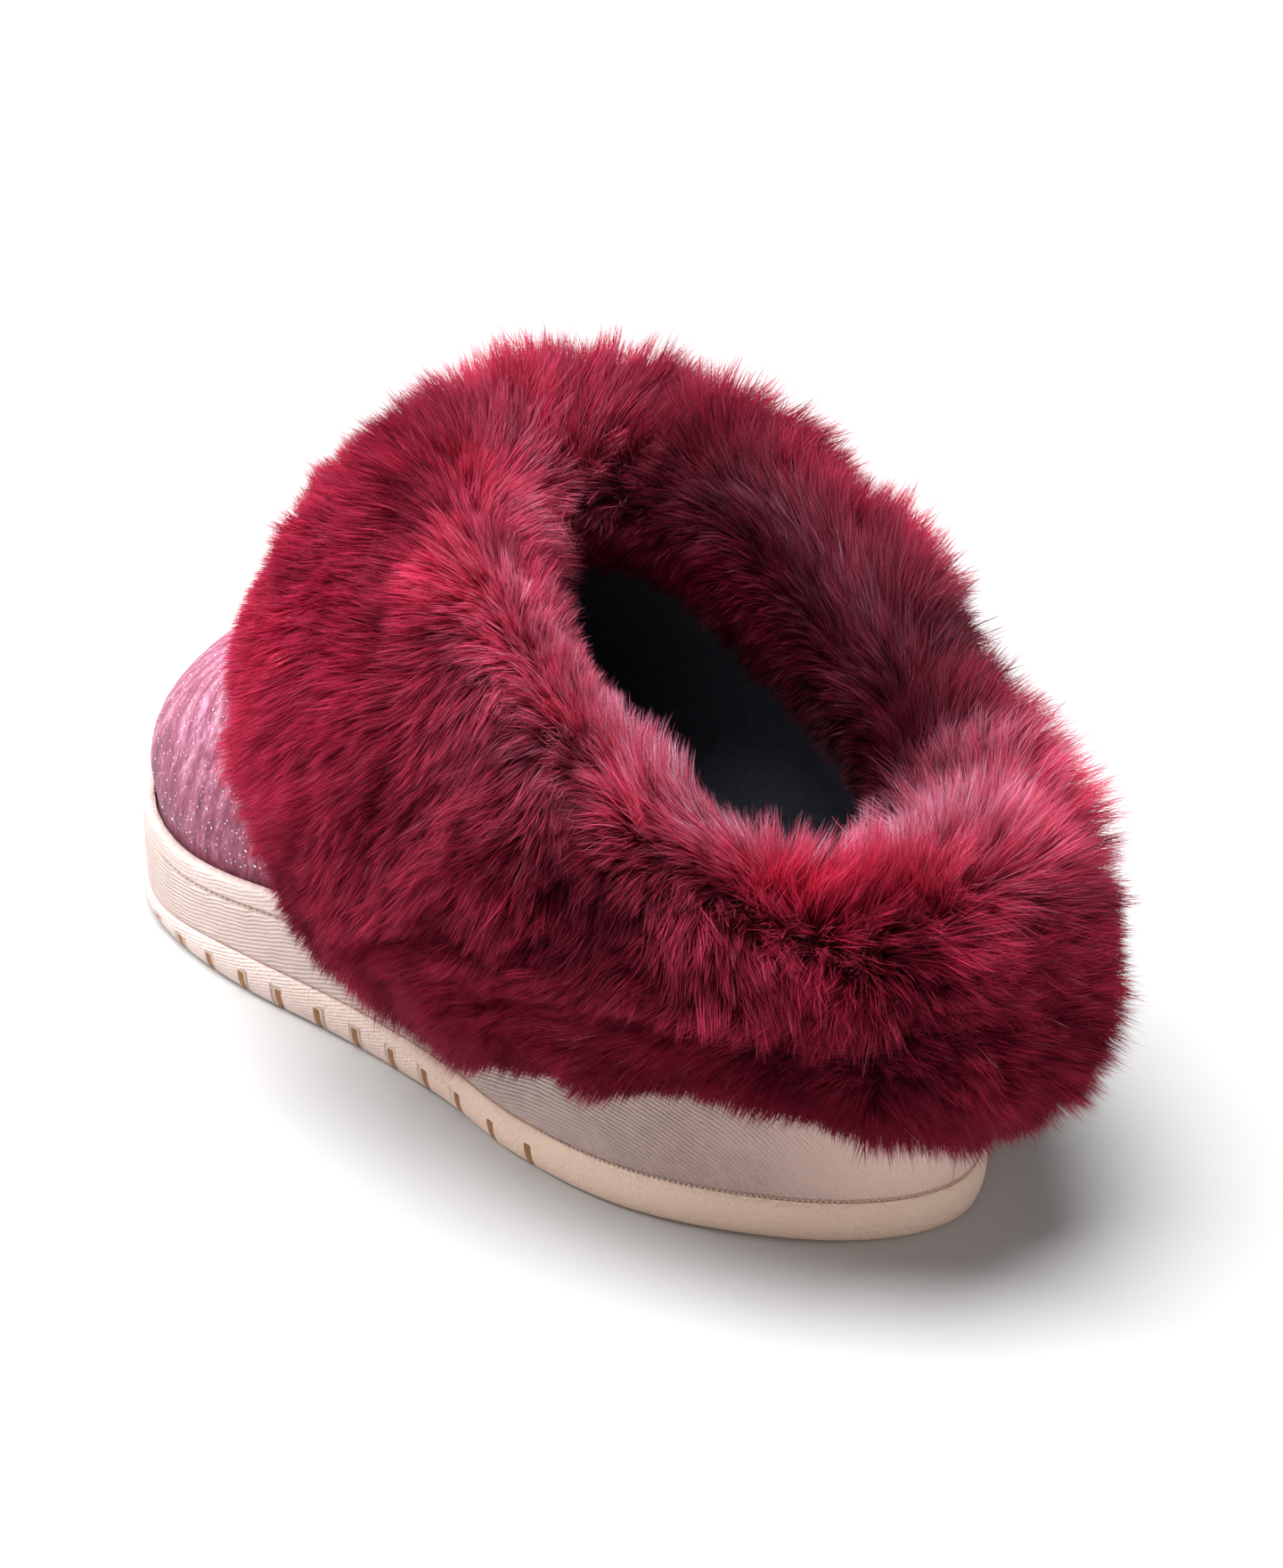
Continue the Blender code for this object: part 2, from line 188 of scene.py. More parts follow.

# How much the broad waves, tufts and locks of the fur sway its lay, length and tone. The tone sways with the
# length: painted shade in the short hollows, painted light on the tall tufts.
SWAY_SEEDS = (41, 51, 61)
SWAY_CELLS = ((5, 15), (14, 46), (38, 130))
UP_SWAY = (0.55, 0.65, 0.45)
ROUND_SWAY = (0.80, 0.75, 0.50)
LUMP_SWAY = (0.08, 0.18, 0.10)
TONE_SWAY = (0.14, 0.28, 0.18)
PLACE_SWAY = (0.25, 0.15)
CREST_TUFTS = 0.5
# How much more painted sheen the tall tufts get.
TUFT_PAINTED_SHEEN = 0.6

# Random spread, clump by clump and then hair by hair.
LEAN_SCATTER = 0.26
LUMP_SCATTER = 0.06
TONE_SCATTER = 0.08
HAIR_SCATTER = 0.14
FACE_SCATTER = 0.35
TURN_SCATTER = 0.7

# Places on the cuff's section, see FUR_LAY, between which an effect comes in or fades out.
CREST_HAIR = ((2.0, 2.4), (3.2, 2.9))
INSIDE_HAIR = ((2.45, 2.85), (4.1, 3.5))
CREST_TONE_RANGE = (1.9, 2.3)
HEEL_SHADE_RANGE = (2.6, 2.3)
HEEL_PALE_START = 2.4

# Points round every loop: heel, lateral side, toe, medial side. The sides blend at heel and toe.
COLUMNS = 384
SIDE_BLEND = 0.04
JOIN_DISTANCE = 0.02

# Studio.
FLOOR_RADIUS = 6.0
FLOOR_GREY = 0.60
WORLD_STRENGTH = 0.22
LIGHTS = (
    # name, place, aim, diameter, watts
    ("key", (-0.60, 1.00, 1.00), (0.0, -0.03, 0.06), 0.9, 20.0),
    ("top", (0.00, 0.10, 1.55), (0.0, -0.03, 0.06), 1.4, 44.0),
    ("back", (0.60, -1.00, 0.35), (0.0, -0.10, 0.03), 0.7, 1.5),
    ("fill", (-0.75, -0.75, 0.30), (0.0, -0.06, 0.02), 0.7, 1.25),
)

# Half-width of the sole = breadth x sin(angle), which rounds the heel and the toe off.
SOLE_PLAN = np.array(
    # share of length, lateral breadth, medial breadth
    [
        (0.00, 53.0, 46.0),
        (0.08, 56.3, 47.0),
        (0.20, 57.0, 45.5),
        (0.32, 52.0, 40.0),
        (0.43, 46.7, 36.0),
        (0.51, 45.0, 35.5),
        (0.59, 46.4, 39.5),
        (0.70, 52.0, 49.5),
        (0.81, 58.2, 60.0),
        (0.90, 64.0, 66.0),
        (0.95, 66.0, 69.0),
        (1.00, 65.0, 67.0),
    ]
)

RIM_PROFILE = np.array(
    # place along the profile, inset from the outline, height
    [
        (0.00, 2.8, 0.0),
        (0.15, 1.0, 0.6),
        (0.30, 0.2, 2.0),
        (0.90, 0.0, RIM_TOP - 0.6),
        (1.00, 0.4, RIM_TOP),
    ]
)

# Tables by share run from the heel, 0, to the toe, 1, along each side.
LIP_HEIGHT = np.array(
    # share, height of the cup's lip
    [
        (0.00, 38.0),
        (0.25, 35.0),
        (0.50, 30.0),
        (0.57, 28.3),
        (0.61, 27.0),
        (0.66, 24.8),
        (0.70, 23.5),
        (0.75, 23.2),
        (0.82, 24.3),
        (0.90, 25.2),
        (1.00, 26.0),
    ]
)

RIM_HEIGHT = np.array(
    # share, height of the outsole's rim, which tapers off round the toe
    [(0.0, 9.3), (0.57, 9.3), (0.63, 9.0), (0.66, 8.2), (0.70, 6.7), (0.75, 4.8), (0.82, 4.0), (1.0, 4.0)]
)

COLLAR = np.array(
    # share, height, lateral half-width, medial half-width
    [
        (0.00, 60.0, 38.0, 33.0),
        (0.20, 62.0, 39.0, 34.0),
        (0.35, 75.0, 39.5, 34.5),
        (0.50, 94.0, 39.0, 35.0),
        (0.65, 107.0, 38.0, 35.0),
        (0.80, 112.5, 37.0, 35.0),
        (1.00, 114.0, 36.0, 35.0),
    ]
)

RIB = np.array(
    # share, rise and lean of the wall's foot, reach and slope of the wall's top
    [
        (0.00, 10.0, 3.0, 12.0, 0.10),
        (0.35, 18.0, 3.0, 22.0, 0.12),
        (0.60, 20.0, 2.5, 34.0, 0.55),
        (0.80, 23.0, 3.0, 48.0, 1.30),
        (1.00, 23.0, 3.0, 54.0, 1.60),
    ]
)

FUR = np.array(
    # share, hem on the rib, then lateral and medial: droop, pile, crest pile; inside pile
    [
        (0.00, 0.10, 14.0, 14.0, 26.0, 26.0, 29.0, 29.0, 14.0),
        (0.10, 0.09, 8.0, 19.0, 24.0, 30.0, 29.0, 30.0, 14.0),
        (0.20, 0.08, 4.0, 21.0, 22.0, 32.0, 28.0, 30.0, 13.0),
        (0.30, 0.07, 5.0, 20.0, 22.0, 30.0, 27.0, 29.0, 11.0),
        (0.37, 0.06, 13.0, 17.0, 22.0, 27.0, 27.0, 29.0, 10.0),
        (0.44, 0.06, 20.0, 17.0, 22.0, 25.0, 27.0, 29.0, 10.0),
        (0.50, 0.06, 11.0, 11.0, 21.0, 24.0, 26.0, 30.0, 10.0),
        (0.54, 0.08, 7.0, 7.0, 19.0, 22.0, 24.0, 30.0, 11.0),
        (0.60, 0.36, 6.0, 6.0, 17.0, 20.0, 22.0, 30.0, 12.0),
        (0.70, 0.58, 6.0, 6.0, 15.0, 19.0, 21.0, 31.0, 13.0),
        (0.80, 0.68, 6.0, 6.0, 16.0, 18.0, 22.0, 31.0, 14.0),
        (0.90, 0.72, 6.0, 6.0, 17.0, 18.0, 24.0, 30.0, 14.0),
        (1.00, 0.74, 6.0, 6.0, 18.0, 18.0, 27.0, 27.0, 14.0),
    ]
)

# The cuff's lower edge, from the wall outwards.
FUR_HEM = np.array(
    # place along the hem, share of pile, share of droop
    [(0.0, 0.32, 0.0), (0.4, 0.38, 0.75), (1.0, 0.50, 1.0)]
)

# How the hair lies along the cuff's section, and how long and how bright it is there. The brightness is
# painted light and shade: brightest just over the crest where the light falls, darker at the hem and darkest
# inside the mouth.
FUR_LAY = np.array(
    # place: 0 hem, 1 lower edge, 2 collar, 3 over the crest, 4 inside end;
    # lay up and over the wall, share of the pile's depth, tone of painted light and shade
    [
        (0.0, -1.15, 1.20, 0.60),
        (1.0, -0.75, 1.24, 0.62),
        (1.15, -0.55, 1.34, 0.66),
        (1.3, -0.65, 1.34, 0.66),
        (1.7, -1.20, 1.36, 0.64),
        (2.05, -1.40, 1.34, 0.64),
        (2.2, -0.90, 1.30, 0.85),
        (2.4, -0.15, 1.28, 1.45),
        (2.65, 0.25, 1.28, 0.95),
        (3.0, 0.30, 1.15, 0.30),
        (4.0, 0.40, 0.95, 0.23),
    ]
)

INSIDE_END = np.array(
    # share, how far down the inside the fur reaches, in eighths of the wall: lateral, medial
    [(0.0, 2.2, 2.2), (0.2, 2.6, 1.7), (0.5, 2.8, 1.7), (0.7, 3.6, 2.6), (0.85, 4.6, 3.6), (1.0, 4.6, 4.6)]
)

# Hair that stands higher on the crest, or lower beside the instep.
CREST_STAND = np.array(
    # share, extra length on the lateral side, on the medial side
    [
        (0.00, 0.20, 0.20),
        (0.14, 0.25, 0.28),
        (0.25, 0.16, 0.28),
        (0.33, 0.22, 0.05),
        (0.41, 0.00, 0.00),
        (0.49, -0.45, 0.00),
        (0.56, -0.45, 0.00),
        (0.66, -0.20, 0.00),
        (0.80, 0.00, 0.00),
        (1.00, 0.00, 0.00),
    ]
)

# Longer hair inside the front of the mouth, which bulges into it.
INSIDE_STAND = np.array(
    # share, extra length on the lateral side, on the medial side
    [
        (0.00, 0.00, 0.0),
        (0.50, 0.00, 0.0),
        (0.56, 0.25, 0.0),
        (0.65, 0.90, 0.0),
        (0.75, 1.00, 0.1),
        (0.88, 0.60, 0.3),
        (1.00, 0.40, 0.4),
    ]
)

# The shortest hair, which is what hangs over the hem.
HEM_HAIR = np.array(
    # share, length on the lateral side, on the medial side
    [
        (0.00, 11.0, 11.0),
        (0.03, 13.0, 11.0),
        (0.08, 9.0, 11.5),
        (0.12, 8.5, 11.0),
        (0.16, 3.5, 9.5),
        (0.24, 3.5, 8.0),
        (0.29, 8.0, 7.0),
        (0.34, 3.0, 7.0),
        (0.40, 6.0, 7.0),
        (0.50, 11.0, 9.0),
        (0.60, 9.5, 9.0),
        (0.65, 9.0, 8.0),
        (0.70, 9.5, 8.0),
        (0.76, 7.5, 7.0),
        (0.84, 5.5, 7.0),
        (0.94, 5.0, 6.5),
        (1.00, 6.0, 6.0),
    ]
)

# The hair's crimson along its length: darker towards the root, as painted shade deep in the pile, and paler
# at the tip, partly as painted light.
HAIR_SHADES = np.array(
    # share of the hair's length, red, green, blue
    [
        (0.00, 0.040, 0.0008, 0.005),
        (0.50, 0.270, 0.0045, 0.026),
        (1.00, 0.620, 0.0250, 0.088),
    ]
)
HAIR_STEPS = np.array([0.0, 0.5, 1.0])

# Painted sheen: a pale pink added to the hair's outer half, strongest on the crest where the light falls.
PAINTED_SHEEN_COLOUR = np.array([0.085, 0.075, 0.098])
PAINTED_SHEEN_STEPS = np.array([0.0, 0.25, 1.0])
LEAST_PAINTED_SHEEN = 0.4
MOST_PAINTED_SHEEN = 2.4
# A few stray hairs get it strongly: pale stray hairs, partly their own colour and partly a painted glint.
STRAY_PALE_AND_SHEEN = 2.5
STRAY_SHARE = 0.004
PAINTED_SHEEN = np.array(
    # place, strength
    [(0.0, 0.02), (1.9, 0.03), (2.15, 0.18), (2.3, 0.80), (2.5, 1.55), (2.75, 0.70), (3.0, 0.05), (4.0, 0.0)]
)

# Painted light and shade on the crest: lighter where the light falls on it, darker along much of the medial
# crest, which lies in shade.
CREST_TONE = np.array(
    # share, tone of the crest on the lateral side, on the medial side
    [
        (0.00, 1.10, 1.10),
        (0.18, 1.10, 1.10),
        (0.23, 1.12, 1.00),
        (0.29, 1.15, 0.60),
        (0.60, 1.05, 0.55),
        (0.80, 1.20, 0.65),
        (1.00, 1.35, 1.35),
    ]
)
HEEL_PALE = np.array(
    # share, how much further over the crest its painted light stays: lateral side, medial side
    [(0.0, 0.5, 0.5), (0.1, 0.35, 0.5), (0.18, 0.0, 0.45), (0.24, 0.0, 0.3), (0.3, 0.0, 0.0), (1.0, 0.0, 0.0)]
)
HEEL_SHADE = np.array(
    # share, how much higher up the crest its painted light starts: lateral side, medial side
    [(0.0, 0.08, 0.0), (0.06, 0.16, 0.0), (0.26, 0.16, 0.0), (0.36, 0.0, 0.0), (1.0, 0.0, 0.0)]
)
# Painted light and shade below the crest: darker towards the heel, lighter towards the toe, where the light
# falls.
BODY_TONE = np.array(
    # share, tone below the crest on the lateral side, on the medial side
    [(0.0, 0.80, 0.85), (0.3, 0.80, 0.85), (0.5, 0.92, 0.95), (0.7, 1.2, 1.1), (1.0, 1.25, 1.25)]
)
# How strong the painted sheen is round the shoe, on each side: strongest round the heel, weakest along the
# medial side.
PAINTED_SHEEN_ROUND = np.array(
    # share, strength on the lateral side, on the medial side
    [
        (0.00, 2.8, 2.9),
        (0.18, 2.7, 2.8),
        (0.23, 2.7, 2.3),
        (0.30, 2.5, 0.6),
        (0.40, 2.2, 0.5),
        (0.60, 1.1, 0.5),
        (0.80, 0.9, 0.6),
        (1.00, 1.8, 1.8),
    ]
)

# How much the hair's direction wanders along the section.
WANDER = np.array(
    # place, strength
    [(0.0, 0.6), (1.0, 1.1), (1.2, 1.4), (1.5, 1.3), (2.0, 1.2), (2.3, 1.0), (2.8, 1.0), (4.0, 0.7)]
)

# How densely the clumps stand along the section.
DENSITY = np.array(
    # place, weight
    [(0.0, 1.8), (1.1, 1.6), (1.4, 1.0), (3.0, 0.9), (3.5, 0.6), (4.0, 0.5)]
)

# The wall's fine ribs: how steeply they climb from the toe to the heel along each side.
RIB_RUN = np.array(
    # share of the way from the toe to the heel, degrees
    [(0.0, 0), (0.2, 6), (0.4, 14), (0.6, 20), (0.68, 6), (0.76, -18), (0.84, -38), (1.0, -85)],
    float,
)


def smooth(table, column, at):
    """A table's column at the given shares, on a smooth curve through its rows."""
    knots, values = table[:, 0], table[:, column]
    slopes = np.gradient(values, knots)
    k = np.clip(np.searchsorted(knots, at) - 1, 0, len(knots) - 2)
    width = knots[k + 1] - knots[k]
    s = (at - knots[k]) / width
    start = (1 + 2 * s) * (1 - s) ** 2 * values[k] + s * (1 - s) ** 2 * width * slopes[k]
    end = s**2 * (3 - 2 * s) * values[k + 1] - s**2 * (1 - s) * width * slopes[k + 1]
    return start + end


def read(table, column, at):
    """A table's column at the given places, on straight lines between its rows."""
    return np.interp(at, table[:, 0], table[:, column])


def ease(x):
    """A soft step from 0 to 1."""
    x = np.clip(x, 0.0, 1.0)
    return x * x * (3 - 2 * x)


def soft_step(at, start, end):
    """A soft step from 0 at the start to 1 at the end, which may be the lower one."""
    return ease((at - start) / (end - start))


def unit(vectors):
    return vectors / np.maximum(np.linalg.norm(vectors, axis=-1, keepdims=True), 1e-9)


class Loop:
    """The columns round the shoe: angle 0 at the heel, pi at the toe, on both sides."""

    half = COLUMNS // 2
    step = np.arange(COLUMNS)
    angle = math.pi * np.where(step <= half, step, COLUMNS - step) / half
    share = angle / math.pi
    lateral = (step > 0) & (step < half)

    @classmethod
    def by_side(cls, table, lateral_column):
        """A column for the lateral side, and the next one for the medial side."""
        lateral = smooth(table, lateral_column, cls.share)
        medial = smooth(table, lateral_column + 1, cls.share)
        mean = (lateral + medial) / 2
        blend = ease(np.minimum(cls.share, 1 - cls.share) / SIDE_BLEND)
        return mean + blend * (np.where(cls.lateral, lateral, medial) - mean)

    @classmethod
    def fade(cls, start, end):
        """A soft step along the shoe, from one share of its length to another."""
        return soft_step(cls.share, start, end)


def plan_normals(points):
    """Outward normals of a closed plan loop."""
    along = np.roll(points, -1, axis=0) - np.roll(points, 1, axis=0)
    return unit(np.stack([-along[:, 1], along[:, 0]], axis=1))


def sole_outline():
    """Plan points of the sole's outer edge and its outward normals."""
    by_angle = SOLE_PLAN.copy()
    by_angle[:, 0] = np.arccos(1 - 2 * SOLE_PLAN[:, 0]) / math.pi
    breadth = Loop.by_side(by_angle, 1)
    side = np.where(Loop.lateral, -1.0, 1.0)
    x = side * breadth * np.sin(Loop.angle)
    y = (SOLE_TOE + SOLE_HEEL) / 2 - (SOLE_TOE - SOLE_HEEL) / 2 * np.cos(Loop.angle)
    points = np.stack([x, y], axis=1)
    return points, plan_normals(points)


def walk_from_toe(points):
    """Distance of each column from the toe tip, along its own side."""
    steps = np.linalg.norm(np.diff(points, axis=0, append=points[:1]), axis=1)
    from_heel = np.concatenate([[0], np.cumsum(steps)])
    lateral = from_heel[Loop.half] - from_heel[: Loop.half + 1]
    medial = from_heel[Loop.half + 1 : COLUMNS] - from_heel[Loop.half]
    return np.concatenate([lateral, medial])


OUTLINE, OUTWARD = sole_outline()
ARC = walk_from_toe(OUTLINE)
LIP = smooth(LIP_HEIGHT, 1, Loop.share)
RIM = smooth(RIM_HEIGHT, 1, Loop.share)


def ground_lift(y):
    """How far the tread is off the floor: arch and toe spring."""
    arch = np.clip((y - ARCH_RANGE[0]) / (ARCH_RANGE[1] - ARCH_RANGE[0]), 0, 1)
    spring = soft_step(y, TOE_SPRING_START, SOLE_TOE)
    return ARCH_LIFT * np.sin(math.pi * arch) ** 2 + TOE_SPRING * spring


def sole_loop(inset, height):
    """A loop at this inset from the sole's edge. The wall flares a little round the heel."""
    height = np.broadcast_to(np.asarray(height, float), (COLUMNS,))
    flare = HEEL_FLARE * np.clip((height - RIM_TOP) / (LIP - RIM_TOP), 0, 1)
    flare = flare * Loop.fade(HEEL_FLARE_END, 0.0)
    plan = OUTLINE - OUTWARD * (np.broadcast_to(inset, (COLUMNS,)) - flare)[:, None]
    lift = ground_lift(plan[:, 1])
    return np.column_stack([plan, height + lift])


def spine_loop(inset, height):
    """The same loop drawn in to the shoe's middle line, which closes a solid."""
    loop = sole_loop(inset, height)
    mirrored = loop[(COLUMNS - Loop.step) % COLUMNS]
    return (loop + mirrored) / 2


def collar_loop():
    """The upper's top edge."""
    side = np.where(Loop.lateral, -1.0, 1.0)
    x = side * Loop.by_side(COLLAR, 2) * np.abs(np.sin(Loop.angle)) ** COLLAR_SQUARENESS
    y = COLLAR_MIDDLE - COLLAR_HALF_LENGTH * np.cos(Loop.angle)
    return np.column_stack([x, y, smooth(COLLAR, 1, Loop.share)])


def rib_controls():
    """Four Bezier points for each rib of the upper, from the cup's lip to the collar."""
    up = np.array([0.0, 0.0, 1.0])
    foot = sole_loop(CUP_WALL + GAP, LIP + FOOT_ABOVE_LIP)
    collar = collar_loop()
    outward = np.column_stack([OUTWARD, np.zeros(COLUMNS)])
    facing = np.column_stack([plan_normals(collar[:, :2]), np.zeros(COLUMNS)])
    rise, lean, reach, slope = (smooth(RIB, k, Loop.share)[:, None] for k in (1, 2, 3, 4))
    low = foot + up * rise + outward * lean
    high = collar + unit(facing * slope - up) * reach
    return np.stack([foot, low, high, collar])


RIBS = rib_controls()
HEM = smooth(FUR, 1, Loop.share)


def rib_points(t, controls=RIBS):
    """Points on the ribs at t, one value for each column, and the tangents there."""
    t = np.broadcast_to(np.asarray(t, float), (COLUMNS,))[:, None]
    a, b, c, d = controls
    points = (1 - t) ** 3 * a + 3 * t * (1 - t) ** 2 * b + 3 * t**2 * (1 - t) * c + t**3 * d
    along = 3 * (1 - t) ** 2 * (b - a) + 6 * t * (1 - t) * (c - b) + 3 * t**2 * (d - c)
    return points, unit(along)


def rib_frame(t):
    """Point, upward tangent and outward normal of the upper's surface at t."""
    points, along = rib_points(t)
    after = rib_points(t, np.roll(RIBS, -1, axis=1))[0]
    before = rib_points(t, np.roll(RIBS, 1, axis=1))[0]
    return points, along, unit(np.cross(along, after - before))


def soft_noise(seed, cells_along, cells_round, along, round_):
    """Smooth noise from -1 to 1. Both places run from 0 to 1, and the second one wraps."""
    values = np.random.default_rng(seed).uniform(-1, 1, (cells_along + 2, cells_round))
    a, r = along * cells_along, round_ * cells_round
    a0 = np.clip(np.floor(a).astype(int), 0, cells_along)
    r0 = np.floor(r).astype(int)
    fa, fr = ease(a - a0), ease(r - r0)
    left, right = r0 % cells_round, (r0 + 1) % cells_round
    low = values[a0, left] * (1 - fr) + values[a0, right] * fr
    high = values[a0 + 1, left] * (1 - fr) + values[a0 + 1, right] * fr
    return low * (1 - fa) + high * fa


def mixed(weights, waves):
    """The waves of a sway added up, each by its weight."""
    return sum(weight * wave for weight, wave in zip(weights, waves))


# Pieces.


def add_piece(name, mesh, material, replaced=()):
    """Shows a mesh as a piece of the slipper that rides on its one body."""
    piece = bpy.data.objects.new(name, mesh)
    bpy.context.scene.collection.objects.link(piece)
    mesh.materials.append(material)
    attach(piece, "root")
    if replaced:
        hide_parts(*replaced)
    return piece


def skin(name, rows, values=None, ring=False):
    """A mesh over closed rows of points, from a grid that is moved there and joined.

    values holds float attributes by name, each with one number for each point.
    """
    rows = [np.asarray(row) for row in rows]
    if ring:
        rows.append(rows[0])
    points = np.stack(rows)
    wrapped = np.concatenate([points, points[:, :1]], axis=1) * MM
    bm = bmesh.new()
    bmesh.ops.create_grid(bm, x_segments=COLUMNS, y_segments=len(rows) - 1, size=1.0)
    for vert, place in zip(bm.verts, wrapped.reshape(-1, 3)):
        vert.co = place
    for label, numbers in (values or {}).items():
        layer = bm.verts.layers.float.new(label)
        numbers = [np.broadcast_to(row, (COLUMNS,)) for row in numbers]
        if ring:
            numbers.append(numbers[0])
        numbers = np.stack(numbers)
        numbers = np.concatenate([numbers, numbers[:, :1]], axis=1)
        for vert, number in zip(bm.verts, numbers.ravel()):
            vert[layer] = number
    bmesh.ops.remove_doubles(bm, verts=bm.verts, dist=JOIN_DISTANCE * MM)
    bmesh.ops.recalc_face_normals(bm, faces=bm.faces)
    mesh = bpy.data.meshes.new(name)
    bm.to_mesh(mesh)
    bm.free()
    mesh.shade_smooth()
    return mesh


def scatter(name, template, places):
    """One mesh of many copies of a small bmesh, at 4 x 4 matrices in millimetres."""
    template.verts.index_update()
    corners = np.array([vert.co for vert in template.verts])
    faces = [[vert.index for vert in face.verts] for face in template.faces]
    template.free()
    copies = np.einsum("nij,vj->nvi", places[:, :3, :3], corners) + places[:, None, :3, 3]
    counts = np.tile([len(face) for face in faces], len(places))
    flat = np.concatenate(faces)
    loops = (flat[None] + np.arange(len(places))[:, None] * len(corners)).ravel()
    return mesh_from_arrays(name, copies.reshape(-1, 3) * MM, loops, counts)


def mesh_from_arrays(name, points, loops, counts):
    """A smooth mesh from point places, the faces' corners in a row, and corners per face."""
    mesh = bpy.data.meshes.new(name)
    mesh.vertices.add(len(points))
    mesh.vertices.foreach_set("co", np.asarray(points, np.float32).ravel())
    mesh.loops.add(len(loops))
    mesh.loops.foreach_set("vertex_index", np.asarray(loops, np.int32))
    mesh.polygons.add(len(counts))
    starts = np.concatenate([[0], np.cumsum(counts)[:-1]])
    mesh.polygons.foreach_set("loop_start", np.asarray(starts, np.int32))
    mesh.update(calc_edges=True)
    mesh.validate()
    mesh.shade_smooth()
    return mesh


def frames_at(points, along, facing):
    """Matrices with X along, Z facing outwards."""
    x = unit(along)
    y = unit(np.cross(facing, x))
    z = np.cross(x, y)
    places = np.tile(np.eye(4), (len(points), 1, 1))
    places[:, :3, 0], places[:, :3, 1], places[:, :3, 2] = x, y, z
    places[:, :3, 3] = points
    return places


def rib_phase(height):
    """Distance across the wall's fine ribs, for a loop at this height."""
    share = ARC / ARC.max()
    lean = np.radians(smooth(RIB_RUN, 1, share))
    order = np.argsort(ARC)
    climbed = np.empty(COLUMNS)
    steps = np.diff(ARC[order], prepend=0.0)
    climbed[order] = np.cumsum(np.sin(lean[order]) * steps)
    return (height - LIP / 2 - RIM_TOP / 2) * np.cos(lean) - climbed


# Materials.


def add_node(tree, kind, inputs=None, **settings):
    """A shader node with its settings and inputs. An input that is a socket is linked."""
    made = tree.nodes.new("ShaderNode" + kind)
    for key, value in settings.items():
        setattr(made, key, value)
    for key, value in (inputs or {}).items():
        if isinstance(value, bpy.types.NodeSocket):
            tree.links.new(value, made.inputs[key])
        else:
            made.inputs[key].default_value = value
    return made


def math_node(tree, operation, first, second=0.0, third=0.0):
    return add_node(tree, "Math", {0: first, 1: second, 2: third}, operation=operation).outputs[0]


def mix_colours(tree, factor, first, second):
    made = add_node(tree, "Mix", {0: factor, 6: first, 7: second}, data_type="RGBA")
    return made.outputs[2]


def ramp(tree, factor, *stops):
    """A smooth colour ramp through stops of (place, grey or colour)."""
    made = add_node(tree, "ValToRGB", {0: factor})
    points = made.color_ramp.elements
    while len(points) < len(stops):
        points.new(0.5)
    for point, (place, colour) in zip(points, stops):
        point.position = place
        point.color = (colour,) * 3 + (1,) if isinstance(colour, float) else (*colour, 1)
    return made.outputs[0]


def attribute(tree, name, output="Fac"):
    return add_node(tree, "Attribute", attribute_name=name).outputs[output]


def new_group(name, inputs, outputs):
    """An empty shader group with float inputs and the named outputs."""
    group = bpy.data.node_groups.new(name, "ShaderNodeTree")
    for label in inputs:
        group.interface.new_socket(label, in_out="INPUT", socket_type="NodeSocketFloat")
    for label in outputs:
        group.interface.new_socket(label, in_out="OUTPUT", socket_type="NodeSocketFloat")
    start = group.nodes.new("NodeGroupInput")
    end = group.nodes.new("NodeGroupOutput")
    return group, start.outputs, end.inputs


def object_place(tree):
    return add_node(tree, "TexCoord").outputs["Object"]


def noise(tree, scale, detail=3.0, roughness=0.5, vector=None):
    inputs = {"Scale": scale, "Detail": detail, "Roughness": roughness}
    inputs["Vector"] = vector or object_place(tree)
    return add_node(tree, "TexNoise", inputs).outputs["Fac"]


def grain_group():
    """Leathery moulded grain: fine pebbles over soft unevenness."""
    group, _, outputs = new_group("moulded_grain", (), ("Height", "Patches"))
    pebbles = add_node(group, "TexVoronoi", {"Vector": object_place(group), "Scale": 900.0})
    fine = noise(group, 1400.0, 4.0, 0.6)
    rough = math_node(group, "ADD", math_node(group, "MULTIPLY", pebbles.outputs["Distance"], 0.6), fine)
    group.links.new(rough, outputs["Height"])
    group.links.new(noise(group, 55.0, 4.0, 0.6), outputs["Patches"])
    return group


def fine_rib_group():
    """Fine wavy ribs across the phase attribute, in millimetres, and the painted shade in the gaps between
    them.
    """
    group, inputs, outputs = new_group("fine_ribs", ("Pitch", "Waviness"), ("Height", "Gap_shade"))
    wave = math_node(group, "SUBTRACT", noise(group, 90.0, 2.0), 0.5)
    fray = math_node(group, "SUBTRACT", noise(group, 700.0, 2.0), 0.5)
    bent = math_node(group, "MULTIPLY_ADD", wave, inputs["Waviness"], attribute(group, "rib_phase"))
    bent = math_node(group, "MULTIPLY_ADD", fray, 0.1, bent)
    turns = math_node(group, "DIVIDE", bent, inputs["Pitch"])
    swing = math_node(group, "SINE", math_node(group, "MULTIPLY", turns, 2 * math.pi))
    height = math_node(group, "MULTIPLY_ADD", swing, 0.5, 0.5)
    strength = math_node(group, "MULTIPLY", height, ramp(group, noise(group, 160.0), (0.3, 0.55), (0.7, 1.0)))
    group.links.new(strength, outputs["Height"])
    group.links.new(math_node(group, "SUBTRACT", 1.0, height), outputs["Gap_shade"])
    return group


FINISHES = {
    "specular": "Specular IOR Level",
    "sheen": "Sheen Weight",
    "sheen_roughness": "Sheen Roughness",
    "sheen_tint": "Sheen Tint",
}


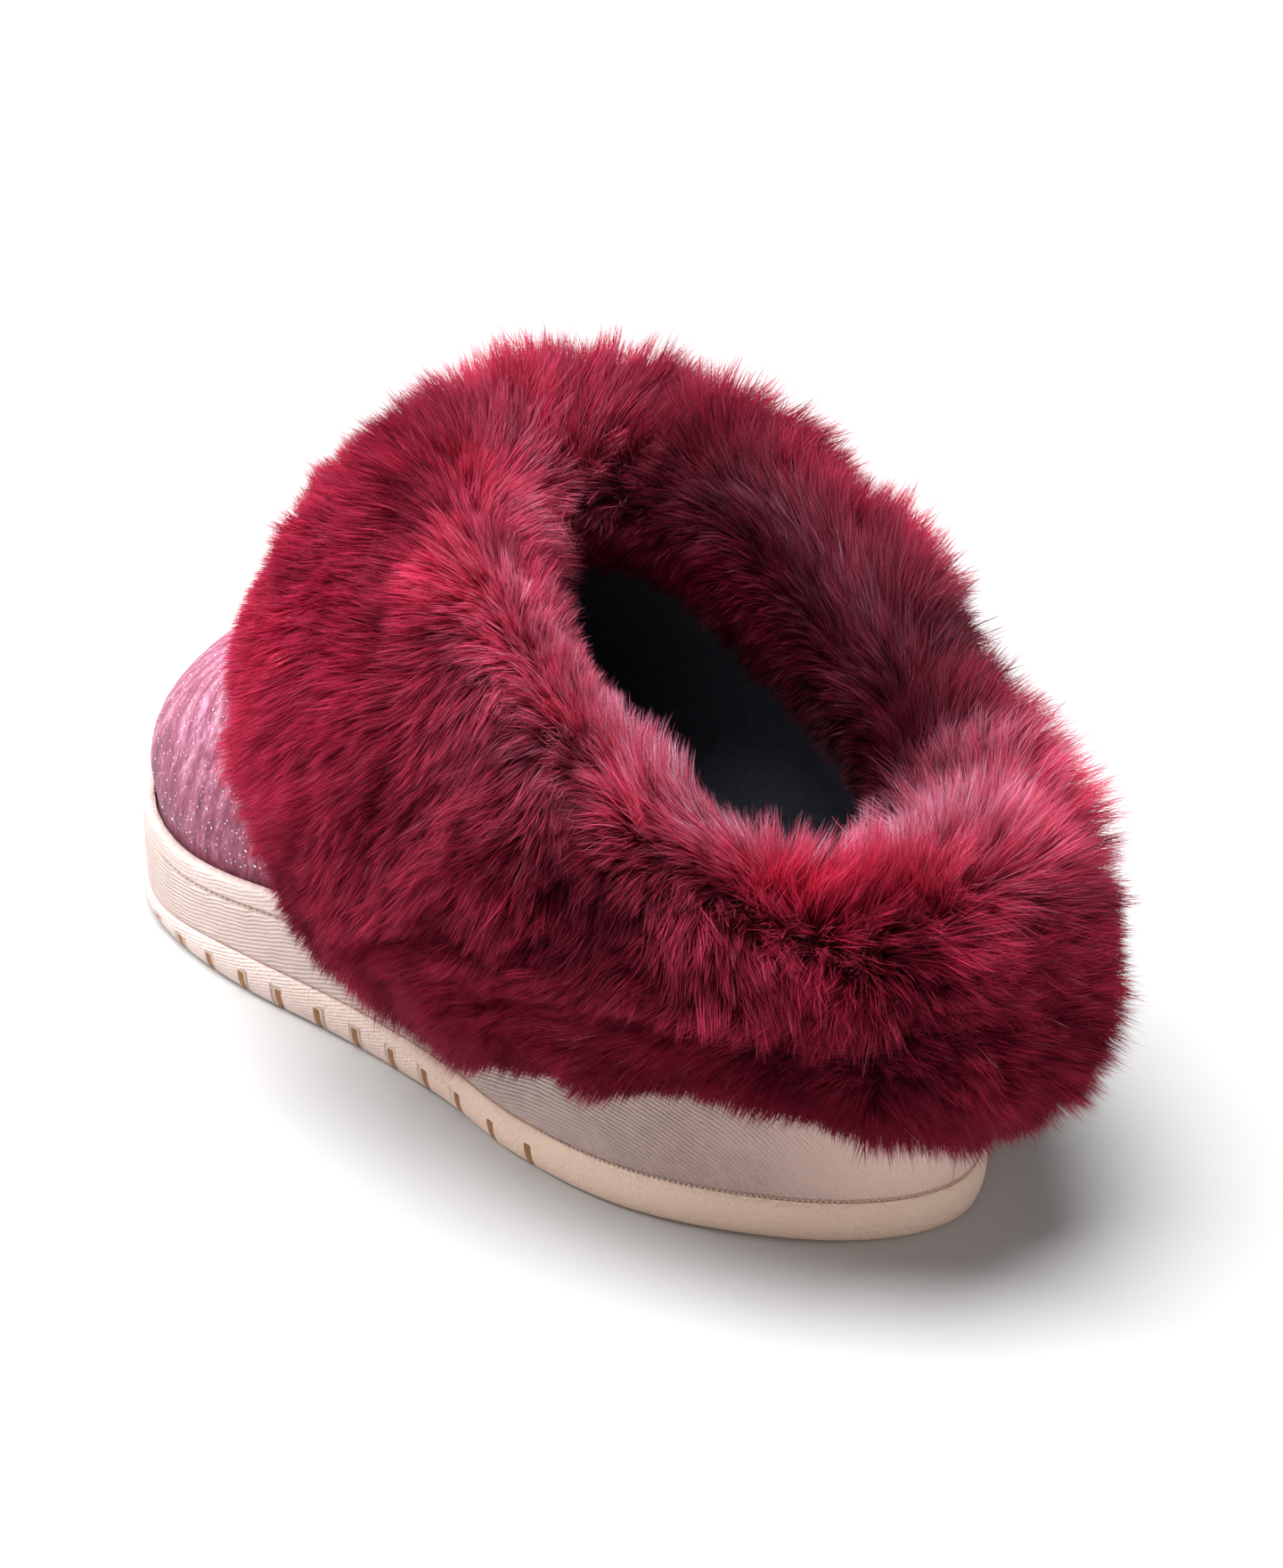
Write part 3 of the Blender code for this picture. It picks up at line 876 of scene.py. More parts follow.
def new_material(name, roughness, **finish):
    """A material, its node tree and its shader, with the shader's plain inputs set."""
    material = bpy.data.materials.new(name)
    material.use_nodes = True
    shader = material.node_tree.nodes["Principled BSDF"]
    shader.inputs["Roughness"].default_value = roughness
    for label, value in finish.items():
        shader.inputs[FINISHES[label]].default_value = value
    return material, material.node_tree, shader


def add_bump(tree, shader, height, distance, strength=1.0):
    bump = add_node(tree, "Bump", {"Height": height, "Distance": distance, "Strength": strength})
    tree.links.new(bump.outputs["Normal"], shader.inputs["Normal"])


def use_group(tree, group, **inputs):
    made = tree.nodes.new("ShaderNodeGroup")
    made.node_tree = group
    for label, value in inputs.items():
        made.inputs[label].default_value = value
    return made.outputs


def rim_material(grain, ribs):
    """Moulded rubber of the outsole's rim, with faint ribs towards the toe, and painted light that makes it
    lighter and warmer round the heel.
    """
    material, tree, shader = new_material("sole_rubber", 0.55)
    pebbles, lines = use_group(tree, grain), use_group(tree, ribs, Pitch=0.75, Waviness=0.8)
    toeward = attribute(tree, "toeward")
    # Painted light: lighter, warmer rubber round the heel, plain paler rubber towards the toe.
    warm = mix_colours(tree, pebbles["Patches"], (0.95, 0.65, 0.50, 1), (0.99, 0.75, 0.60, 1))
    pale = mix_colours(tree, pebbles["Patches"], (0.81, 0.615, 0.56, 1), (0.89, 0.72, 0.665, 1))
    tree.links.new(mix_colours(tree, toeward, warm, pale), shader.inputs["Base Color"])
    lined = math_node(tree, "MULTIPLY", lines["Height"], toeward)
    height = math_node(tree, "MULTIPLY_ADD", lined, 0.6, pebbles["Height"])
    add_bump(tree, shader, height, 0.00045, 0.9)
    return material


def slit_material(grain):
    material, tree, shader = new_material("slit_tan", 0.7)
    colour = mix_colours(
        tree, use_group(tree, grain)["Patches"], (0.58, 0.34, 0.19, 1), (0.72, 0.46, 0.28, 1)
    )
    tree.links.new(colour, shader.inputs["Base Color"])
    return material


def wall_material(grain, ribs):
    """Pale ribbed wall of the cup, with painted shade along its middle and heel, painted light towards the
    toe and round the heel's back, and painted shade in the gaps between the ribs. The lip band above the
    stitched groove is smoother.
    """
    material, tree, shader = new_material("ribbed_wall", 0.6)
    pebbles, lines = use_group(tree, grain), use_group(tree, ribs, Pitch=0.95, Waviness=1.8)
    band = attribute(tree, "lip_band")
    # Painted shade on the wall's middle and heel; pale is painted light towards the toe, warm is painted
    # light round the heel's back.
    painted_shade = mix_colours(tree, pebbles["Patches"], (0.50, 0.325, 0.28, 1), (0.56, 0.385, 0.345, 1))
    pale = mix_colours(tree, pebbles["Patches"], (0.75, 0.58, 0.53, 1), (0.83, 0.68, 0.64, 1))
    warm = mix_colours(tree, pebbles["Patches"], (0.84, 0.58, 0.50, 1), (0.92, 0.66, 0.58, 1))
    colour = mix_colours(tree, attribute(tree, "toeward"), painted_shade, pale)
    colour = mix_colours(tree, attribute(tree, "heelward"), colour, warm)
    lines_shown = math_node(tree, "MULTIPLY_ADD", band, -0.6, attribute(tree, "ribbed"))
    # Painted shade in the gaps between the ribs, darkening the wall's colour there.
    painted_gap_shade = math_node(tree, "MULTIPLY", math_node(tree, "MULTIPLY", lines["Gap_shade"], 0.45), lines_shown)
    colour = mix_colours(tree, painted_gap_shade, colour, (0.50, 0.34, 0.28, 1))
    tree.links.new(colour, shader.inputs["Base Color"])
    height = math_node(tree, "MULTIPLY", lines["Height"], lines_shown)
    height = math_node(tree, "MULTIPLY_ADD", pebbles["Height"], 0.45, height)
    add_bump(tree, shader, height, 0.0006, 0.9)
    return material


def toe_material():
    """Brushed pink velvet: streaks up the toe, painted paler on the ribs and mauve with painted shade between
    them, and painted shade low down towards the lip.
    """
    material, tree, shader = new_material(
        "glitter_fabric",
        0.65,
        specular=0.2,
        sheen=0.14,
        sheen_roughness=0.4,
        sheen_tint=(1.0, 0.65, 0.80, 1),
    )
    around, up, ridge = (attribute(tree, key) for key in ("around", "up", "ridge"))
    place = add_node(tree, "CombineXYZ", {0: around, 1: math_node(tree, "MULTIPLY", up, 0.12)})
    streaks = noise(tree, 0.55, 4.0, 0.65, place.outputs[0])
    brushed = noise(tree, 2.2, 3.0, 0.6, place.outputs[0])
    patches = noise(tree, 45.0, 2.0)
    # Painted light and shade: the tone rises on each rib's ridge and falls between the ribs.
    tone = math_node(tree, "MULTIPLY_ADD", ridge, 0.12, math_node(tree, "MULTIPLY", streaks, 0.64))
    tone = math_node(tree, "MULTIPLY_ADD", brushed, 0.36, tone)
    tone = math_node(tree, "MULTIPLY_ADD", patches, 0.25, tone)
    # Painted shade: darker low on the toe, towards the lip, fading out by TOE_SHADE_HEIGHT.
    low = ramp(tree, math_node(tree, "MULTIPLY", up, 1 / TOE_SHADE_HEIGHT), (0.0, 0.12), (1.0, 0.0))
    tone = math_node(tree, "SUBTRACT", tone, low)
    colour = ramp(
        tree, tone, (0.44, (0.14, 0.024, 0.048)), (0.64, (0.335, 0.080, 0.148)), (0.86, (0.68, 0.33, 0.47))
    )
    tree.links.new(colour, shader.inputs["Base Color"])
    add_bump(tree, shader, math_node(tree, "ADD", brushed, noise(tree, 1500.0)), 0.0003, 0.5)
    return material


def pile_material(name, dark, light, sheen):
    """Short dark pile of the lining and the footbed, or the fur's undercoat."""
    material, tree, shader = new_material(name, 0.9, sheen=sheen)
    colour = mix_colours(tree, noise(tree, 300.0, 4.0, 0.7), (*dark, 1), (*light, 1))
    tree.links.new(colour, shader.inputs["Base Color"])
    add_bump(tree, shader, noise(tree, 900.0, 4.0, 0.7), 0.0008, 0.8)
    return material


def hair_material():
    """Faux fur: coloured along each hair by its own colour attribute, which carries the hair's crimson with
    its painted light, shade and sheen.
    """
    material, tree, shader = new_material(
        "burgundy_fur", 0.5, specular=0.1, sheen=0.04, sheen_roughness=0.5, sheen_tint=(1.0, 0.45, 0.55, 1)
    )
    tree.links.new(attribute(tree, "hair_colour", "Color"), shader.inputs["Base Color"])
    return material


def thread_material(name, dark, light):
    material, tree, shader = new_material(name, 0.7)
    colour = mix_colours(tree, noise(tree, 600.0), (*dark, 1), (*light, 1))
    tree.links.new(colour, shader.inputs["Base Color"])
    return material


def glitter_material():
    material, tree, shader = new_material("glitter", 0.3)
    colour = mix_colours(tree, noise(tree, 500.0), (0.95, 0.80, 0.95, 1), (1.0, 1.0, 1.0, 1))
    tree.links.new(colour, shader.inputs["Base Color"])
    return material


# Sole.


def slit_places():
    """Matrices at each slit, X square to the outline and outwards, for both sides."""
    order = [np.argsort(np.where(mask, ARC, np.inf))[: mask.sum()] for mask in (Loop.lateral, ~Loop.lateral)]
    places = []
    for columns in order:
        at = SLIT_FIRST + SLIT_PITCH * np.arange(SLIT_COUNT)
        spot = [np.interp(at, ARC[columns], OUTLINE[columns, axis]) for axis in (0, 1)]
        turn = [np.interp(at, ARC[columns], OUTWARD[columns, axis]) for axis in (0, 1)]
        points = np.column_stack([*spot, ground_lift(spot[1])])
        outward = np.column_stack([*turn, np.zeros(SLIT_COUNT)])
        frames = frames_at(points, outward, np.array([0.0, 0.0, 1.0]))
        frames[:, :3, 2] *= (np.interp(at, ARC[columns], RIM[columns]) / RIM_TOP)[:, None]
        places.append(frames)
    return np.concatenate(places)


def cut_slits(rim, material):
    """Cuts the round-topped slits out of the rim, tan inside."""
    block = bmesh.new()
    bmesh.ops.create_cube(
        block, size=1, matrix=Matrix.Diagonal((2 * SLIT_DEPTH, SLIT_WIDTH, 2 * SLIT_HEIGHT, 1))
    )
    tops = [edge for edge in block.edges if all(v.co.z > 0 for v in edge.verts)]
    tops = [edge for edge in tops if abs(edge.verts[0].co.x - edge.verts[1].co.x) > SLIT_DEPTH]
    bmesh.ops.bevel(
        block, geom=tops, offset=SLIT_TOP_ROUNDING, segments=3, profile=0.5, affect="EDGES", material=-1
    )
    cutter = bpy.data.objects.new("slits", scatter("slits", block, slit_places()))
    cutter.data.materials.append(material)
    bpy.context.scene.collection.objects.link(cutter)
    cut = rim.modifiers.new("slits", "BOOLEAN")
    cut.operation = "DIFFERENCE"
    cut.solver = "EXACT"
    cut.material_mode = "TRANSFER"
    cut.object = cutter
    shown = bpy.context.evaluated_depsgraph_get()
    uncut, rim.data = rim.data, bpy.data.meshes.new_from_object(rim.evaluated_get(shown))
    rim.modifiers.clear()
    bpy.data.objects.remove(cutter)
    bpy.data.meshes.remove(uncut)


def make_rim(material, slit_tan):
    """The outsole: flat tread, rounded rim and the slits cut into it."""
    rows = [spine_loop(RIM_PROFILE[0, 1], 0.0)]
    for at in np.linspace(0, 1, RIM_ROWS):
        inset, height = (float(smooth(RIM_PROFILE, k, at)) for k in (1, 2))
        rows.append(sole_loop(inset, max(height, 0.0) * RIM / RIM_TOP))
    rows += [sole_loop(CUP_WALL, RIM), spine_loop(CUP_WALL, RIM)]
    values = {
        "rib_phase": [rib_phase(row[:, 2]) for row in rows],
        "toeward": [Loop.fade(*RIM_PALE)] * len(rows),
    }
    mesh = skin("outsole_rim", rows, values)
    mesh.set_sharp_from_angle(angle=RIM_SHARP)
    rim = add_piece("outsole_rim", mesh, material, ("outsole",))
    cut_slits(rim, slit_tan)
    rim.data.set_sharp_from_angle(angle=RIM_SHARP)


def make_wall(material):
    """The moulded cup: ribbed wall, stitched groove round the toe, lip and floor."""
    foot = RIM + SEAM_GAP
    groove = LIP - GROOVE_BELOW_LIP
    band = Loop.fade(*GROOVE_FADE)
    # Inset, height, and how much the row belongs to the lip's band.
    rows = [
        (FOOT_SETBACK + FOOT_CHAMFER, foot, 0),
        (FOOT_SETBACK + CHAMFER_BEND[0], foot + CHAMFER_BEND[1], 0),
        (FOOT_SETBACK, foot + FOOT_CHAMFER, 0),
    ]
    low, high = foot + FOOT_CHAMFER, groove - GROOVE_HALF_WIDTH
    for s in np.linspace(0.1, 1, 9):
        inset = WALL_SETBACK + (FOOT_SETBACK - WALL_SETBACK) * (1 - ease(s * 2))
        rows.append((inset, low + (high - low) * s, 0))
    for s in np.linspace(-0.75, 1, 8):
        dip = GROOVE_DEPTH * math.cos(s * math.pi / 2) ** 2
        rows.append((WALL_SETBACK + band * dip, groove + GROOVE_HALF_WIDTH * s, 0.5 + s / 2))
    low, high = groove + GROOVE_HALF_WIDTH, LIP - LIP_ROUNDING
    for s in np.linspace(0.2, 1, 5):
        rows.append((WALL_SETBACK, low + (high - low) * s, 1))
    for turn in np.linspace(0.25, 1, 4) * math.pi / 2:
        rise = LIP_ROUNDING * (math.sin(turn) - 1)
        rows.append((WALL_SETBACK + LIP_ROUNDING * (1 - math.cos(turn)), LIP + rise, 1))
    rows += [
        (CUP_WALL - LIP_EDGE, LIP, 1),
        (CUP_WALL, LIP - LIP_EDGE, 1),
        (CUP_WALL, CUP_FLOOR, 1),
    ]
    loops = [sole_loop(inset, height) for inset, height, _ in rows]
    phases = [rib_phase(np.broadcast_to(height, (COLUMNS,))) for _, height, _ in rows]
    first, last = spine_loop(*rows[0][:2]), spine_loop(*rows[-1][:2])
    count = len(rows) + 2
    values = {
        "ribbed": [HEEL_RIBS + (1 - HEEL_RIBS) * Loop.fade(*WALL_RIBBED)] * count,
        "toeward": [Loop.fade(*WALL_PALE)] * count,
        "heelward": [Loop.fade(*WALL_WARM)] * count,
        "rib_phase": [phases[0], *phases, phases[-1]],
        "lip_band": [0 * band, *[band * lip for *_, lip in rows], band],
    }
    mesh = skin("ribbed_wall", [first, *loops, last], values)
    add_piece("ribbed_wall", mesh, material, ("sidewall",))


def stitch_row(name, material, slot, points, along, facing, size):
    """Small round stitches, one at each point."""
    length, width = size
    shape = Matrix.Diagonal((length / 2, width / 2, width / 2, 1))
    thread = bmesh.new()
    bmesh.ops.create_uvsphere(thread, u_segments=8, v_segments=6, radius=1, matrix=shape)
    mesh = scatter(name, thread, frames_at(points, along, facing))
    add_piece(name, mesh, material)


def at_pitch(loop, keep, pitch):
    """Places along the kept run of a closed loop, one pitch apart: points, ways along and out."""
    columns = np.nonzero(keep)[0]
    gap = np.argmax(np.diff(columns)) if np.any(np.diff(columns) > 1) else -1
    columns = np.concatenate([columns[gap + 1 :], columns[: gap + 1]])
    path = loop[columns]
    walked = np.concatenate([[0], np.cumsum(np.linalg.norm(np.diff(path, axis=0), axis=1))])
    at = np.arange(pitch, walked[-1], pitch)
    spot = np.column_stack([np.interp(at, walked, path[:, k]) for k in range(3)])
    way = np.gradient(spot, axis=0)
    out = np.column_stack([np.interp(at, walked, OUTWARD[columns, k]) for k in (0, 1)] + [0 * at])
    return spot, way, out


def make_stitches(toe_thread, heel_thread):
    """The thread in the toe's groove, and the beaded seam above the rim round the heel."""
    groove = sole_loop(WALL_SETBACK + GROOVE_DEPTH - TOE_STITCH_RISE, LIP - GROOVE_BELOW_LIP)
    spots = at_pitch(groove, Loop.share > TOE_STITCH_START, TOE_STITCH_PITCH)
    stitch_row("toe_stitches", toe_thread, "ribbed_wall", *spots, TOE_STITCH)
    foot = RIM_TOP + SEAM_GAP + FOOT_CHAMFER
    seam = sole_loop(FOOT_SETBACK - HEEL_STITCH_RISE, foot + HEEL_STITCH_RISE)
    spots = at_pitch(seam, Loop.share < HEEL_STITCH_END, HEEL_STITCH_PITCH)
    stitch_row("heel_seam", heel_thread, "ribbed_wall", *spots, HEEL_STITCH)


# Upper.


def make_footbed(material):
    """A soft dark pad, dished under the foot."""
    inset = CUP_WALL + GAP + UPPER_WALL + GAP
    rows = [spine_loop(inset, CUP_FLOOR + GAP), sole_loop(inset, CUP_FLOOR + GAP)]
    for turn in np.linspace(0, 1, 5) * math.pi / 2:
        side = INSOLE_EDGE * (1 - math.cos(turn))
        rows.append(sole_loop(inset + side, INSOLE_TOP - INSOLE_EDGE * (1 - math.sin(turn))))
    middle = spine_loop(inset, INSOLE_TOP - FOOTBED_DISH)
    edge = rows[-1]
    for s in np.linspace(0.15, 1, 7):
        row = edge + (middle - edge) * s
        row[:, 2] = edge[:, 2] - FOOTBED_DISH * ease(s)
        rows.append(row)
    pad = add_piece("footbed", skin("footbed", rows), material, ("insole",))


def toe_across(points):
    """Distance across the toe's ribs, which fan round the toe and lean back on the lateral side."""
    fan = np.where(Loop.lateral, ARC, -ARC)
    bias = points @ np.array(TOE_RIB_PLAN) + TOE_RIB_SHIFT
    lean = TOE_RIB_LEAN * Loop.fade(*TOE_LEAN_RANGE) * Loop.lateral
    return fan + lean * (bias - fan)


def toe_ridges(points, t):
    """Height of the toe's soft ribs, from 0 to 1."""
    wander = soft_noise(TOE_RIB_SEED, *TOE_RIB_CELLS, np.full(COLUMNS, t), Loop.step / COLUMNS)
    across = toe_across(points) + TOE_RIB_WANDER * wander
    return 0.5 + 0.5 * np.cos(2 * math.pi * across / TOE_RIB_PITCH)


def toe_plump(t):
    """How far the toe swells at t on its ribs."""
    return TOE_PLUMP * ease(t / PLUMP_TOP) * (1 - ease((t - PLUMP_TOP) / PLUMP_FADE))


def make_upper(material):
    """The velvet outside of the upper, one hollow wall."""
    depth = UPPER_WALL * FABRIC_SHARE
    smooth_cloth = np.zeros(COLUMNS)
    rows, around, up, ridge = [], [], [], []

    def add(points, high, ribs):
        rows.append(points)
        around.append(toe_across(points))
        up.append(np.broadcast_to(high, (COLUMNS,)))
        ridge.append(ribs)

    shown = np.linspace(0, 1, UPPER_ROWS)
    length = np.zeros(COLUMNS)
    before = rib_points(0.0)[0]
    add(sole_loop(CUP_WALL + GAP, CUP_FLOOR + GAP), UP_BELOW_LIP, smooth_cloth)
    for t in shown:
        points, _, normals = rib_frame(t)
        length = length + np.linalg.norm(points - before, axis=1)
        before = points
        ribs = toe_ridges(points, t) * ease(t / TOE_RIB_START)
        swell = TOE_RIB_HEIGHT * (ribs - 1) + toe_plump(t) * Loop.fade(*PLUMP_RANGE)
        add(points + normals * swell[:, None], length, ribs)
    for t in shown[::-4]:
        points, _, normals = rib_frame(t)
        add(points - normals * depth, 0.0, smooth_cloth)
    add(sole_loop(CUP_WALL + GAP + depth, CUP_FLOOR + GAP), UP_BELOW_LIP, smooth_cloth)
    values = {"around": around, "up": up, "ridge": ridge}
    mesh = skin("velvet_upper", rows, values, ring=True)
    add_piece("velvet_upper", mesh, material, ("upper",))


def make_lining(material):
    """The dark inside of the upper."""
    outer = UPPER_WALL * FABRIC_SHARE + LINING_GAP
    rows = []
    for depth, order in ((outer, slice(None)), (UPPER_WALL, slice(None, None, -1))):
        loops = [sole_loop(CUP_WALL + GAP + depth, CUP_FLOOR + GAP)]
        for t in np.linspace(0, 1, LINING_ROWS):
            points, _, normals = rib_frame(t)
            loops.append(points - normals * depth)
        rows += loops[order]
    add_piece("dark_lining", skin("dark_lining", rows, ring=True), material)


def make_glitter(material):
    """Tiny bright facets in rows along the toe's ribs."""
    draw = np.random.default_rng(GLITTER_SEED)
    toe = np.nonzero(Loop.share > GLITTER_START)[0]
    frames = [rib_frame(t) for t in GLITTER_RINGS]
    points, along, normals = (np.stack([f[k] for f in frames])[:, toe] for k in range(3))
    last = (len(GLITTER_RINGS) - 1, len(toe) - 1)
    steps = [np.arange(0, end, step) for end, step in zip(last, GLITTER_STEP)]
    row, column = (
        np.clip(cell.ravel() + draw.uniform(-jitter, jitter, cell.size), 0, end - 0.01)
        for cell, jitter, end in zip(np.meshgrid(*steps, indexing="ij"), GLITTER_JITTER, last)
    )
    keep = draw.uniform(size=row.shape) < GLITTER_KEPT
    row, column = row[keep].astype(int), column[keep].astype(int)
    below_hem = GLITTER_RINGS[row] < HEM[toe][column] + GLITTER_UNDER_HEM
    row, column = row[below_hem], column[below_hem]
    count = len(row)
    facing = normals[row, column]
    tilt = unit(facing + draw.normal(0, GLITTER_TILT, (count, 3)))
    lift = toe_plump(GLITTER_RINGS[row]) + GLITTER_LIFT
    places = frames_at(points[row, column] + facing * lift[:, None], along[row, column], tilt)
    size = draw.uniform(*GLITTER_SIZE, count)
    size = size * np.where(draw.uniform(size=count) < LARGE_FLAKES, LARGE_FLAKE, 1.0)
    places[:, :3, :3] *= size[:, None, None]
    flake = bmesh.new()
    bmesh.ops.create_circle(flake, cap_ends=True, segments=6, radius=1)
    mesh = scatter("toe_glitter", flake, places)
    add_piece("toe_glitter", mesh, material)


# Fur cuff.


def fur_rows():
    """Rows of the cuff's section, hem to inside: hair ends, roots, up, out, and place."""
    droop, pile, crest = (Loop.by_side(FUR, k)[:, None] for k in (2, 4, 6))
    inside = smooth(FUR, 8, Loop.share)[:, None]
    rows = []
    points, along, normals = rib_frame(HEM)
    for s in np.linspace(0, 0.9, HEM_ROWS):
        share, fall = smooth(FUR_HEM, 1, s), smooth(FUR_HEM, 2, s)
        tips = points + normals * pile * share - along * droop * fall
        roots = points + normals * pile * share * HEM_BACKING[0] - along * droop * fall * HEM_BACKING[1]
        rows.append((tips, roots, along, unit(normals * (0.3 + s) - along), s))
    for s in np.linspace(0, 1, WALL_ROWS):
        points, along, normals = rib_frame(HEM + (1 - HEM) * s)
        height = (pile + (crest - pile) * ease(s)) * (HEM_PILE + (1 - HEM_PILE) * ease(s / HEM_REACH))
        fall = droop * (1 - ease(s / HEM_REACH))
        tips = points + normals * height - along * fall
        plush = ease(s / PLUSH_RISE) * soft_step(s, 1.0, PLUSH_FALL)
        backing = CREST_BACKING + (BODY_BACKING - CREST_BACKING) * plush
        roots = points + (normals * height - along * fall) * backing
        rows.append((tips, roots, along, normals, 1 + s))
    edge, along, normals = rib_frame(1.0)
    middle = edge - normals * UPPER_WALL / 2
    for k in np.linspace(0.2, CREST_END, CREST_ROWS):
        reach = crest + (inside + UPPER_WALL - crest) * ease(k / CREST_END)
        way = normals * math.cos(CREST_TURN * k) + along * math.sin(CREST_TURN * k)
        up = along * math.cos(CREST_TURN * k) - normals * math.sin(CREST_TURN * k)
        rows.append((middle + way * reach, middle + way * reach * CREST_BACKING, up, way, 2 + k / CREST_END))
    for s in np.linspace(0, 1, INSIDE_ROWS):
        k = INSIDE_START + (Loop.by_side(INSIDE_END, 1) - INSIDE_START) * s
        points, along, normals = rib_frame(1 - (1 - HEM) * k / BODY_ROWS)
        depth = inside * (1 - LINING_THINNING * s / 2)
        tips = points - normals * (UPPER_WALL + depth)
        roots = points - normals * (UPPER_WALL + depth * CREST_BACKING)
        rows.append((tips, roots, -along, -normals, 3 + s))
    tips, roots, up, out = (np.stack([row[k] for row in rows]) for k in range(4))
    return tips, roots, up, out, np.array([row[4] for row in rows])


def make_undercoat(material, roots):
    """The dense pile under the hair, painted dark as the shade among the roots, closed along the upper's
    wall.
    """
    along, round_ = np.meshgrid(np.linspace(0, 1, len(roots)), Loop.step / COLUMNS, indexing="ij")
    lumps = soft_noise(UNDERCOAT_SEED, *UNDERCOAT_CELLS, along, round_)
    out = unit(np.cross(np.gradient(roots, axis=0), np.gradient(roots, axis=1)))
    rows = list(roots + out * lumps[..., None])[::2]
    skin_rows = np.linspace(0, 1, 9)
    lowest = 1 - Loop.by_side(INSIDE_END, 1) / BODY_ROWS
    for s in skin_rows[:-1]:
        points, _, normals = rib_frame(HEM + (1 - HEM) * (lowest + (1 - lowest) * s))
        rows.append(points - normals * (UPPER_WALL + CUFF_GAP))
    edge, along, normals = rib_frame(1.0)
    for height in (-(UPPER_WALL + CUFF_GAP), CUFF_GAP):
        rows.append(edge + normals * height + along * CUFF_GAP)
    for s in skin_rows[-2::-1]:
        points, _, normals = rib_frame(HEM + (1 - HEM) * s)
        rows.append(points + normals * CUFF_GAP)
    mesh = skin("fur_undercoat", rows, ring=True)
    add_piece("fur_undercoat", mesh, material, ("fur_cuff",))


def look_up(field, row, column):
    """A field of rows and columns at fractional places. The columns wrap."""
    r0 = np.clip(np.floor(row).astype(int), 0, len(field) - 2)
    c0 = np.floor(column).astype(int)
    fr = row - r0
    fc = column - c0
    if field.ndim == 3:
        fr, fc = fr[:, None], fc[:, None]
    left, right = c0 % COLUMNS, (c0 + 1) % COLUMNS
    low = field[r0, left] * (1 - fc) + field[r0, right] * fc
    high = field[r0 + 1, left] * (1 - fc) + field[r0 + 1, right] * fc
    return low * (1 - fr) + high * fr


